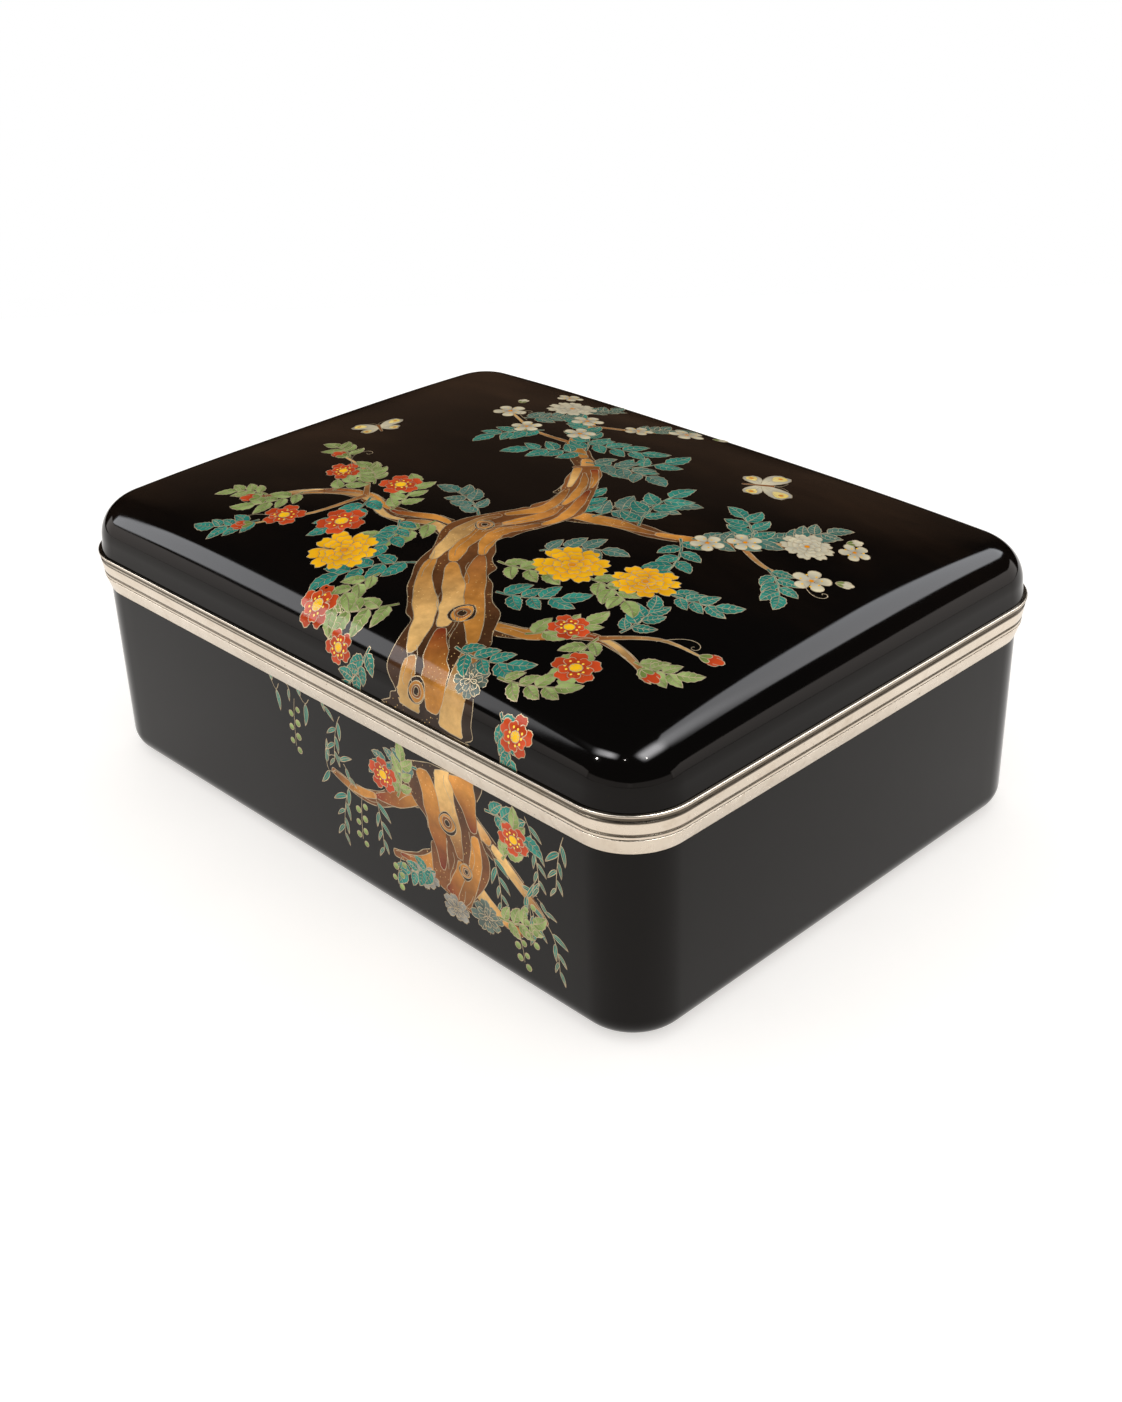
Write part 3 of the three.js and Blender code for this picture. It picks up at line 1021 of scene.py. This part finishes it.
def bud(art, root, angle, length, colour, shade):
    """Three closed petals in two short sepals."""
    tip = polar(root, angle, length)
    for side, reach in ((-14, 0.86), (14, 0.86), (0, 1.0)):
        polygon = petal(root, angle + side, 0, length * reach, length * 0.27, 0, 1, 0)
        art.cell("petal", polygon, blend(root, tip, toned(shade), toned(colour)))
    for side in (-26, 26):
        polygon = petal(root, angle + side, 0, length * 0.5, length * 0.16, 0, 1, 0)
        art.cell("leaf", polygon, plain(OLIVE))


def butterfly(art, centre, span, angle):
    """Fore and hind wings with a marked edge, a body and two feelers."""
    centre = Vector(centre)
    for side in (-1, 1):
        for swing, reach, breadth in ((118, 0.36, 0.15), (52, 0.52, 0.19)):
            wing_angle = angle + side * swing
            wing = petal(centre, wing_angle, 0.3, span * reach, span * breadth, 0.08, 1, 0)
            tip = polar(centre, wing_angle, span, reach)
            art.cell("petal", wing, blend(centre, tip, toned(CREAM), toned(ASH)))
            band = petal(centre, wing_angle, span * reach * 0.45, span * reach * 0.9,
                         span * breadth * 0.66, 0, 1, 0)
            art.cell("petal", band, blend(centre, tip, toned(CREAM), toned(LEMON)))
            spot = centre + heading(wing_angle) * span * reach * 0.74
            art.cell("petal", disc(spot, span * 0.035, points=7), plain(AMBER))
            for turn in (-9, 9):
                along = heading(wing_angle + turn) * span * reach
                art.wire([centre + along * part for part in (0.15, 0.9)], FINE_WIRE)
    tail, head = centre - heading(angle) * span * 0.24, centre + heading(angle) * span * 0.16
    art.cell("bark", taper(spline([tail, centre, head], 4), span * 0.03, span * 0.07), plain(UMBER))
    for side in (-1, 1):
        bends = ((24, 0.12), (40, 0.22))
        feeler = [head] + [polar(head, angle + side * turn, span, reach) for turn, reach in bends]
        art.wire(spline(feeler, 4), FINE_WIRE)


def tendril(art, root, angle, length, curl):
    """A thin stem that winds up at its end."""
    steps = 26
    run = [Vector(root)]
    for step in range(steps):
        t = step / steps
        run.append(run[-1] + heading(angle + curl * t ** 2.4) * length * (1.35 - t) / steps)
    art.wire(run, TENDRIL_WIRE)


def berries(art, root, angle, length, count):
    """A hanging stalk with a round berry at each short side stem."""
    run = hang(root, angle, length, count + 1, -90, 0.7)
    art.wire(spline(run, 3), STALK_WIRE)
    for index, point in enumerate(run[1:], 1):
        side = 1 if index % 2 else -1
        end = point + Vector((side * 1.3, -0.9))
        art.wire([point, end], FINE_WIRE)
        size = chance.uniform(0.75, 1.0)
        up = Vector((0, size))
        tint = blend(end - up, end + up, toned(OLIVE), toned(PALE_GREEN))
        art.cell("leaf", disc(end, size, points=9), tint)


def willow(art, root, angle, length):
    """A hanging twig with slender leaves by turns to either side."""
    count = max(4, round(length / 2.4))
    run = hang(root, angle, length, count, -92, 0.6)
    art.wire(spline(run, 2))
    for index, point in enumerate(run[1:], 1):
        along = run[index] - run[index - 1]
        turn = math.degrees(math.atan2(along.y, along.x))
        side = 1 if index % 2 else -1
        size = chance.uniform(5.2, 7.0) * (1 - 0.35 * index / count)
        leaf(art, point, turn + side * chance.uniform(24, 44), size, TEAL, DEEP_TEAL,
             -side * 22, 0.12, 0.0, False)


def moss(art, centre, radius, light=ASH, dark=SLATE):
    """A cushion of ribbed scales."""
    centre = Vector(centre)
    for count, reach, start in ((8, 1.0, 10), (6, 0.68, 35), (3, 0.36, 0)):
        for index in range(count):
            angle = start + 360 / count * index + chance.uniform(-9, 9)
            size = radius * reach * chance.uniform(0.88, 1.12)
            tip = polar(centre, angle, size)
            polygon = petal(centre, angle, 0, size, size * 0.36, 0.08, 0.8, 90)
            art.cell("bark", polygon, blend(centre, tip, toned(dark, 0.2), toned(light, 0.2)))
            art.wire([centre.lerp(tip, 0.45), centre.lerp(tip, 0.85)], FINE_WIRE)


def plates(art, spot, span, lanes):
    """Long plates of bark on a limb of that length, with dark clefts left between them."""
    pairs = (
        (SAND, OCHRE), (TAN, OCHRE), (OCHRE, UMBER), (TAN, UMBER), (OCHRE, MAROON), (OCHRE, UMBER),
    )
    for lane in range(lanes):
        middle = ((lane + 0.5) / lanes - 0.5) * 1.8
        s = -chance.uniform(0.0, 0.6) * PLATE_LENGTH / span
        while s < 0.97:
            length = PLATE_LENGTH * chance.uniform(0.8, 1.5) / span
            left, right = [], []
            for step in range(1, PLATE_STEPS):
                at = s + length * step / PLATE_STEPS
                if not 0.015 < at < 0.985:
                    continue
                sway = 0.22 / lanes * math.sin(at * span * 0.21 + lane * 2.1)
                swell = math.sin(math.pi * step / PLATE_STEPS) ** 0.75
                wide = PLATE_REACH / lanes * swell * chance.uniform(0.80, 1.06)
                left.append(spot(at, min(middle + sway + wide, PLATE_REACH)))
                right.append(spot(at, max(middle + sway - wide, -PLATE_REACH)))
            if len(left) > 3:
                light, dark = pairs[chance.randrange(len(pairs))]
                tint = blend(left[len(left) // 3], right[-1], toned(light, 0.15), toned(dark, 0.15))
                art.cell("bark", spline(left + right[::-1], 2, True), tint)
            s += length * 0.86


def limb(art, points, start_width, end_width, lanes=1, gnarl=0.14, knots=()):
    """A bough or trunk: a knobbly outline with plates of bark on it, cracks and knots."""
    run = spline(points, 8)
    last = len(run) - 1
    span = sum((ahead - here).length for here, ahead in zip(run, run[1:]))
    strip = stations(run, start_width, end_width)

    def spot(s, t):
        """The place at the share s of the limb's length, and t of its half width to the left."""
        at = min(max(s, 0), 1) * last
        index = min(int(at), last - 1)
        (a, across_a, half_a), (b, across_b, half_b) = strip[index], strip[index + 1]
        part = at - index
        half = half_a + (half_b - half_a) * part
        return a.lerp(b, part) + across_a.lerp(across_b, part) * half * t

    steps = max(8, round(span / 3))
    polygon = []
    for side in (1, -1):
        for step in range(steps + 1):
            s = step / steps if side == 1 else 1 - step / steps
            swell = 1 + gnarl * math.sin(s * span * 0.3 + side) + chance.uniform(-gnarl, gnarl) * 0.8
            polygon.append(spot(s, side * swell))
    art.cell("bark", spline(polygon, 3, True), blend(run[0], run[-1], CLEFT, toned(UMBER)))
    plates(art, spot, span, lanes)
    for s, t, size in knots:
        middle = spot(s, t)
        for reach, colour in ((1.0, CLEFT), (0.82, OCHRE), (0.55, UMBER), (0.3, CLEFT)):
            corners = [middle + heading(45 * corner) * size * reach * chance.uniform(0.85, 1.12)
                       for corner in range(8)]
            art.cell("bark", spline(corners, 2, True), plain(colour))
    for stripe in range(round(lanes * span / 18)):
        s = chance.uniform(0.05, 0.85)
        t = chance.uniform(-0.75, 0.75)
        step_size = 2.2 / span
        crack = [spot(s + step_size * step, t + 0.16 / lanes * math.sin(step * 1.5 + stripe))
                 for step in range(5)]
        art.wire(spline(crack, 3), STALK_WIRE)


def scatter(motif, art, rows, *rest):
    """Draws the motif at the place of each row, with the row's other values and the rest."""
    for u, v, *values in rows:
        motif(art, (u, v), *values, *rest)


def draw_lid():
    lid = Drawing("lid", lid_surface, LID_ART_FOOT, LID_ART_TOP, LID_TOP_EDGE + GRID_STEP)
    # Boughs behind the trunk
    limb(lid, [(12, -10), (28, -3), (44, 1), (58, 10), (68, 22)], 6.5, 1.6)
    limb(lid, [(8, 2), (-2, 18), (-16, 28), (-24, 42), (-40, 52)], 7.5, 1.6)
    limb(lid, [(10, -36), (-4, -31), (-18, -35), (-32, -32), (-46, -38), (-56, -48)], 8.5, 1.6, 2)
    limb(lid, [(34, -58), (50, -54), (64, -45), (79, -47)], 6.0, 1.4)
    for points in (
        [(-24, 42), (-12, 50), (-4, 60)], [(58, 10), (70, 6), (80, 10)],
        [(-16, 28), (-32, 28), (-50, 36)], [(-32, -32), (-44, -22), (-58, -18)],
        [(-32, -32), (-36, -46), (-46, -58)], [(64, -45), (74, -36), (84, -34)],
    ):
        twig(lid, points, 1.6, 0.6)
    # Leaves at the back, in teal and grey
    sprays(lid, 35, (
        (0, 16, 62, 22, 8.5, TEALS), (-10, 26, 140, 18, 8.0, TEALS), (-4, 20, 10, 19, 8.0, GREYS),
        (-16, 32, 15, 18, 7.5, TEALS), (-22, 42, 160, 16, 7.0, TEALS), (22, -4, 60, 20, 8.5, GREYS),
        (34, 0, 105, 19, 8.0, TEALS), (48, 4, 50, 18, 7.5, GREYS), (46, 2, -60, 17, 7.5, TEALS),
        (60, 12, 140, 15, 7.0, TEALS), (-12, 50, 70, 11, 6.0, GREYS), (-36, 50, 80, 11, 6.0, GREYS),
        (-30, 30, -120, 14, 7.0, TEALS), (-42, 34, 60, 12, 6.5, GREYS),
        (18, -8, 120, 16, 7.5, TEALS), (-8, 24, -150, 16, 7.5, TEALS), (66, 20, 80, 12, 6.5, GREYS),
        (70, 6, -40, 12, 6.0, TEALS),
    ))
    # The trunk
    trunk = [(41, LID_ART_FOOT), (40, -74), (29, -58), (14, -43), (7, -26), (13, -10), (7, 7),
             (-2, 18)]
    limb(lid, trunk, 27, 6.5, 3, 0.12, ((0.28, -0.3, 3.6), (0.58, 0.25, 2.8), (0.11, 0.4, 3.0)))
    moss(lid, (50, -71), 4.8, SEA_GREY, SLATE)
    # Leaves at the front, in greens
    sprays(lid, 35, (
        (50, -54, 60, 14, 6.5, GREENS), (64, -45, -70, 14, 6.5, GREENS),
        (76, -46, 20, 10, 6.0, GREENS), (40, -66, 10, 15, 6.5, TEALS),
        (-6, -31, -110, 17, 7.0, GREENS), (-20, -34, 120, 16, 7.0, GREENS),
        (-30, -32, -80, 16, 7.0, TEALS), (-42, -35, 100, 14, 6.5, GREENS),
        (-48, -40, -120, 13, 6.5, GREENS), (-56, -18, 160, 11, 6.0, GREENS),
        (-46, -56, -140, 12, 6.0, TEALS), (6, -48, -130, 19, 7.5, TEALS),
        (16, -62, -150, 17, 7.0, GREENS), (0, -22, 160, 16, 7.0, GREYS),
        (22, -36, 20, 16, 7.0, GREENS), (26, -26, 40, 15, 7.0, GREYS),
        (-56, -46, 200, 10, 5.5, GREENS), (18, -74, -120, 11, 5.5, TEALS),
        (62, -74, -60, 10, 5.0, TEALS), (32, -46, 30, 16, 7.0, TEALS),
        (-14, -36, -60, 13, 6.5, TEALS), (-36, -26, 150, 12, 6.0, GREENS),
        (66, -40, 100, 12, 6.0, TEALS), (56, -68, 20, 14, 6.0, GREENS),
        (2, -56, -90, 14, 6.5, GREENS), (44, -28, -10, 14, 7.0, GREENS),
        (62, -20, 20, 12, 6.5, TEALS),
    ))
    # Yellow blooms
    peony(lid, (37, -26), 10.0, 10, 0.90, 100)
    peony(lid, (55, -20), 9.0, 35, 0.82, 120)
    peony(lid, (-14, -54), 9.5, 22, 0.95, 90)
    # Red blooms and buds
    scatter(camellia, lid, (
        (-26, -45, 6.8, 12, 1.0, 90), (-42, -51, 6.2, 40, 0.85, 110), (-30, -22, 6.4, 66, 0.92, 80),
        (-50, -25, 6.0, 20, 0.80, 60), (68, -56, 6.2, 50, 0.9, 90), (56, -46, 5.6, 5, 0.85, 90),
        (-4, -71, 5.8, 30, 1.0, 90), (68, -77, 5.2, 15, 0.9, 90), (8, -77, 4.8, 50, 0.85, 90),
    ))
    scatter(bud, lid, (
        (-56, -48, 210), (-58, -18, 170), (-46, -58, 220), (79, -47, -10), (84, -34, 20),
    ), 6.0, FLAME, BRICK)
    # Pale blossom at the back
    peony(lid, (-40, 51), 8.0, 0, 0.9, 90, CREAM, ASH)
    peony(lid, (69, 22), 7.5, 20, 0.85, 90, CREAM, ASH)
    for u, v, radius, turn in (
        (-28, 45, 4.8, 30), (-21, 35, 5.0, 50), (-50, 36, 5.4, 15), (-36, 29, 4.4, 60),
        (-4, 60, 5.2, 10), (-13, 50, 4.2, 40), (58, 12, 4.6, 0), (80, 10, 4.8, 45),
        (52, 5, 4.4, 20), (-50, 60, 4.0, 33), (78, 29, 4.2, 12),
    ):
        plum(lid, (u, v), radius, turn, chance.uniform(0.78, 1.0), chance.uniform(60, 120))
    scatter(bud, lid, ((74, 31, 60), (-54, 44, 120), (2, 64, 40), (84, 14, 30)), 4.4, CREAM, ASH)
    scatter(tendril, lid, (
        (-50, -22, 145, 22, -420), (-40, -52, 190, 24, 400), (74, -37, 60, 18, -430),
        (30, -2, 110, 20, 420), (-40, 33, 160, 16, -380), (78, 9, -40, 16, 400),
    ))
    butterfly(lid, (38, 42), 21, 40)
    butterfly(lid, (-70, 4), 17, 150)
    return lid


def draw_base():
    base = Drawing("base", base_surface, BASE_ART_FOOT, BASE_ART_TOP)
    limb(base, [(36, 42), (25, 35), (12, 31), (1, 33)], 7.0, 1.6)
    limb(base, [(50, 41), (63, 34), (76, 24)], 7.0, 1.6)
    scatter(willow, base, (
        (2, 33, 200, 17), (8, 32, -120, 17), (17, 33, -70, 15), (-6, 50, 230, 21),
        (6, 50, -120, 14), (-18, 50, 240, 15), (66, 32, -30, 15), (76, 24, -50, 12),
        (72, 27, 200, 12), (70, 50, -60, 18), (82, 50, -110, 15), (58, 36, -60, 14),
    ))
    limb(base, [(42, 26), (33, 21), (23, 19)], 7.0, 1.8)
    limb(base, [(48, 25), (58, 19), (68, 17)], 7.0, 1.8)
    trunk = [(42, BASE_ART_TOP), (45, 40), (47, 28), (44, 16)]
    limb(base, trunk, 27, 14, 3, 0.13, ((0.42, -0.2, 3.2), (0.72, 0.3, 2.4)))
    moss(base, (34, 17), 5.0)
    moss(base, (56, 16), 5.5, SEA_GREY, SLATE)
    moss(base, (45, 13), 4.6)
    sprays(base, 30, (
        (34, 47, 200, 14, 6.0, GREYS), (57, 46, -10, 13, 6.0, TEALS), (38, 20, 210, 12, 5.5, TEALS),
        (60, 18, 20, 12, 5.5, GREENS), (26, 36, 80, 11, 5.5, GREENS), (62, 35, 70, 11, 5.5, GREENS),
    ))
    camellia(base, (21, 40), 5.4, 20, 0.9, 90)
    camellia(base, (66, 42), 5.2, 50, 0.85, 90)
    scatter(berries, base, (
        (26, 19, -120, 9, 4), (66, 17, -60, 8, 4), (12, 30, -100, 13, 6), (70, 29, -80, 12, 6),
        (-12, 48, -100, 14, 6),
    ))
    return base


def glass_cells(name, speck_colour, speck_amount, mottle):
    """Coloured glass whose tone comes from the cell, clouded, with round specks in it."""
    nodes = Nodes(name)
    tone = nodes.add("ShaderNodeAttribute", attribute_name="tone").outputs["Color"]
    small = nodes.vary(1 - mottle, 1 + mottle, 260, 5.0, 0.6)
    large = nodes.vary(1 - mottle, 1 + mottle, 70, 3.0)
    sockets = {0: tone, "Scale": nodes.times(small, large)}
    clouded = nodes.add("ShaderNodeVectorMath", sockets, operation="SCALE").outputs["Vector"]
    dots = nodes.ramp(nodes.cells(1050), 0.13, 0.20, speck_amount, 0.0)
    drifts = nodes.ramp(nodes.noise(130, 3.0), 0.45, 0.60)
    colour = nodes.mix(nodes.times(dots, drifts), clouded, speck_colour)
    roughness = nodes.vary(0.06, 0.12, 300, 3.0)
    nodes.set(Specular_IOR_Level=ENAMEL_SPECULAR, IOR=ENAMEL_IOR)
    return nodes.finish(colour, roughness, polished_normal(nodes))


def wire_silver():
    """Fine silver wire, ground and worn to a pale warm tone."""
    nodes = Nodes("wire_silver")
    wear = nodes.ramp(nodes.noise(400), 0.35, 0.7)
    colour = nodes.mix(wear, (0.52, 0.40, 0.24), (0.26, 0.20, 0.12))
    roughness = nodes.vary(0.32, 0.55, 900, 3.0)
    nodes.set(Metallic=0.45)
    return nodes.finish(colour, roughness, nodes.bump(nodes.noise(1800, 2.0), 0.00001, 0.4))


WIRE = wire_silver()
CELL_MATERIALS = {
    "bark": glass_cells("bark_glass", (0.90, 0.58, 0.22), 0.75, 0.24),
    "leaf": glass_cells("leaf_glass", (0.20, 0.42, 0.30), 0.25, 0.16),
    "petal": glass_cells("petal_glass", (0.95, 0.60, 0.20), 0.15, 0.10),
}
CELL_SLOTS = {"bark": "black_enamel", "leaf": "black_enamel", "petal": "black_enamel"}
for art in (draw_lid(), draw_base()):
    art.build(CELL_MATERIALS, CELL_SLOTS)


# Camera, from the edges of both rims, the bottom edge and the silhouette
CAMERA_TARGET = (2.70, 1.88, 20.83)
CAMERA_DISTANCE = 505.2
CAMERA_AZIMUTH = 46.17
CAMERA_ELEVATION = 29.60
CAMERA_ROLL = -1.76
FOCAL_PIXELS = 1850.8 # on the image's longer side
IMAGE_HEIGHT = 1402
SENSOR = 36.0


def direction(azimuth, elevation):
    """Unit vector towards a place at that azimuth from the front, and that elevation."""
    turn, tilt = math.radians(azimuth), math.radians(elevation)
    return Vector((math.sin(turn) * math.cos(tilt), -math.cos(turn) * math.cos(tilt), math.sin(tilt)))


def add_camera():
    data = bpy.data.cameras.new("camera")
    data.sensor_width = SENSOR
    data.lens = FOCAL_PIXELS / IMAGE_HEIGHT * SENSOR
    data.clip_start = 0.01
    camera = add_object("camera", data)
    back = direction(CAMERA_AZIMUTH, CAMERA_ELEVATION)
    place = (Vector(CAMERA_TARGET) + back * CAMERA_DISTANCE) * MM
    roll = Matrix.Rotation(math.radians(CAMERA_ROLL), 3, "Z").to_quaternion()
    turn = (-back).to_track_quat("-Z", "Y") @ roll
    camera.matrix_world = Matrix.Translation(place) @ turn.to_matrix().to_4x4()
    bpy.context.scene.camera = camera


def add_softbox(name, aim, azimuth, elevation, turn, distance, size, radiance, colour,
                across=1.0, along=1.0, edge=0.1, left_edge=None):
    """A softbox that faces a point of the box from that direction, seen only in gloss.

    size is its width and height in metres, and turn how far it is rolled, in degrees. Its light
    changes evenly over its width and height: across and along are the share of its radiance that
    its left and lower edges have, and it fades out over the share edge of its size at each side,
    and over left_edge at the left one where that is given.
    """
    data = bpy.data.lights.new(name, "AREA")
    data.shape = "RECTANGLE"
    data.size, data.size_y = size
    data.energy = radiance * math.pi * size[0] * size[1]
    data.color = colour
    data.use_nodes = True
    nodes = Tree(data.node_tree)
    place = nodes.add("ShaderNodeNewGeometry").outputs["Parametric"]
    spot = nodes.add("ShaderNodeSeparateXYZ", {"Vector": place}).outputs
    factors = []
    sides = ((spot["X"], across, left_edge or edge), (spot["Y"], along, edge))
    for source, share, first_edge in sides:
        factors += [
            nodes.ramp(source, 0.0, 1.0, share, 1.0),
            nodes.ramp(source, 0.0, first_edge, 0.0, 1.0, "SMOOTHSTEP"),
            nodes.ramp(source, 1 - edge, 1.0, 1.0, 0.0, "SMOOTHSTEP"),
        ]
    nodes.feed(nodes.tree.nodes["Emission"].inputs["Strength"], reduce(nodes.times, factors))
    light = add_object(name, data)
    away_from_box = direction(azimuth, elevation)
    roll = Matrix.Rotation(math.radians(turn), 3, "Z").to_quaternion()
    light.location = Vector(aim) * MM + away_from_box * distance
    light.rotation_euler = ((-away_from_box).to_track_quat("-Z", "Y") @ roll).to_euler()
    light.visible_camera = False
    light.visible_diffuse = False


def add_floor():
    """A pale floor that glows a little, so that it shades to white. It ends close behind the
    box, where the back slope of the lid would mirror it, and the white of the world goes on."""
    across = direction(CAMERA_AZIMUTH + 90, 0) * FLOOR_REACH
    near = direction(CAMERA_AZIMUTH, 0) * FLOOR_REACH
    far = direction(CAMERA_AZIMUTH, 0) * -FLOOR_BEHIND
    mesh = bpy.data.meshes.new("floor")
    level = Vector((0, 0, -FLOOR_GAP))
    corners = [near - across, near + across, far + across, far - across]
    mesh.from_pydata([corner + level for corner in corners], [], [(0, 1, 2, 3)])
    nodes = Nodes("floor")
    grain = nodes.vary(0.97, 1.0, 30, 3.0)
    nodes.set(Specular_IOR_Level=0.0, Roughness=1.0, Emission_Strength=FLOOR_GLOW)
    nodes.set(Emission_Color=(1.03, 1.0, 0.97, 1.0))
    mesh.materials.append(nodes.finish(nodes.mix(grain, (0.0, 0.0, 0.0), (0.63, 0.62, 0.605))))
    floor = add_object("floor", mesh)


def add_world():
    """Even white light, which gloss doesn't see, so that the lid's top stays dark."""
    world = bpy.data.worlds.new("studio")
    world.use_nodes = True
    background = world.node_tree.nodes["Background"]
    background.inputs["Color"].default_value = (1.0, 1.0, 1.0, 1.0)
    background.inputs["Strength"].default_value = 1.0
    bpy.context.scene.world = world
    world.cycles_visibility.glossy = False


FLOOR_REACH = 1.6
FLOOR_BEHIND = 0.42
FLOOR_GAP = 0.00005 # so that the box's underside isn't in one plane with it
FLOOR_GLOW = 0.54
FRONT_SHOULDER = (-45, -75, 70)
RIGHT_SHOULDER = (100, -5, 75)
NEAR_CORNER = (96, -70, 73)
MIDDLE = (0, 0, 80)
WHITE = (1.0, 1.0, 1.0)
COOL = (0.94, 0.98, 1.04)
WARM = (1.0, 0.95, 0.92)
# Each: name, aim, azimuth, elevation, turn, distance, size, radiance, colour, across, along, edge
# and left edge
SOFTBOXES = (
    ("left_softbox", FRONT_SHOULDER, -55.2, 27.4, 12.4, 1.2, (0.645, 0.448), 5.4, COOL, 1.45, 1.12),
    ("back_softbox", RIGHT_SHOULDER, 169.8, 43.9, -36.0, 1.2, (0.916, 0.622), 5.6, COOL,
     1.5, 1.19, 0.1, 0.32),
    ("right_card", RIGHT_SHOULDER, 137, 6.0, 0, 0.45, (0.62, 0.149), 2.2, WARM, 1.0, 0.59, 0.06),
    ("left_card", FRONT_SHOULDER, -47, 6.1, 0, 0.45, (0.62, 0.144), 2.0, WARM, 1.0, 0.59, 0.06),
    ("corner_card_left", NEAR_CORNER, 8, 3.7, 0, 0.45, (0.74, 0.115), 1.1, WARM, 1.0, 1.0, 0.15),
    ("corner_card_right", NEAR_CORNER, 76, 3.7, 0, 0.45, (0.74, 0.115), 1.1, WARM, 1.0, 1.0, 0.15),
    ("warm_haze", MIDDLE, -134, 14, 0, 1.5, (2.0, 0.95), 0.095, (1.0, 0.62, 0.40), 1.0, 1.0, 0.3),
    ("corner_left", NEAR_CORNER, -27, 54.5, 34.8, 1.2, (0.95, 0.36), 45.0, COOL, 0.12, 1.0, 0.4),
    ("corner_right", NEAR_CORNER, 123, 62, -20, 1.2, (1.35, 0.62), 28.0, COOL, 1.25, 1.0, 0.45, 0.25),
    ("spark_left", NEAR_CORNER, -28, 39, 0, 1.0, (0.024, 0.024), 1600.0, WHITE),
    ("spark_middle", NEAR_CORNER, 28, 59, 0, 1.0, (0.022, 0.022), 330.0, WHITE),
    ("spark_right", NEAR_CORNER, 87, 57, 0, 1.0, (0.022, 0.022), 380.0, WHITE),
)

add_camera()
add_floor()
add_world()
for softbox in SOFTBOXES:
    add_softbox(*softbox)
bpy.context.scene.view_settings.view_transform = "Standard"
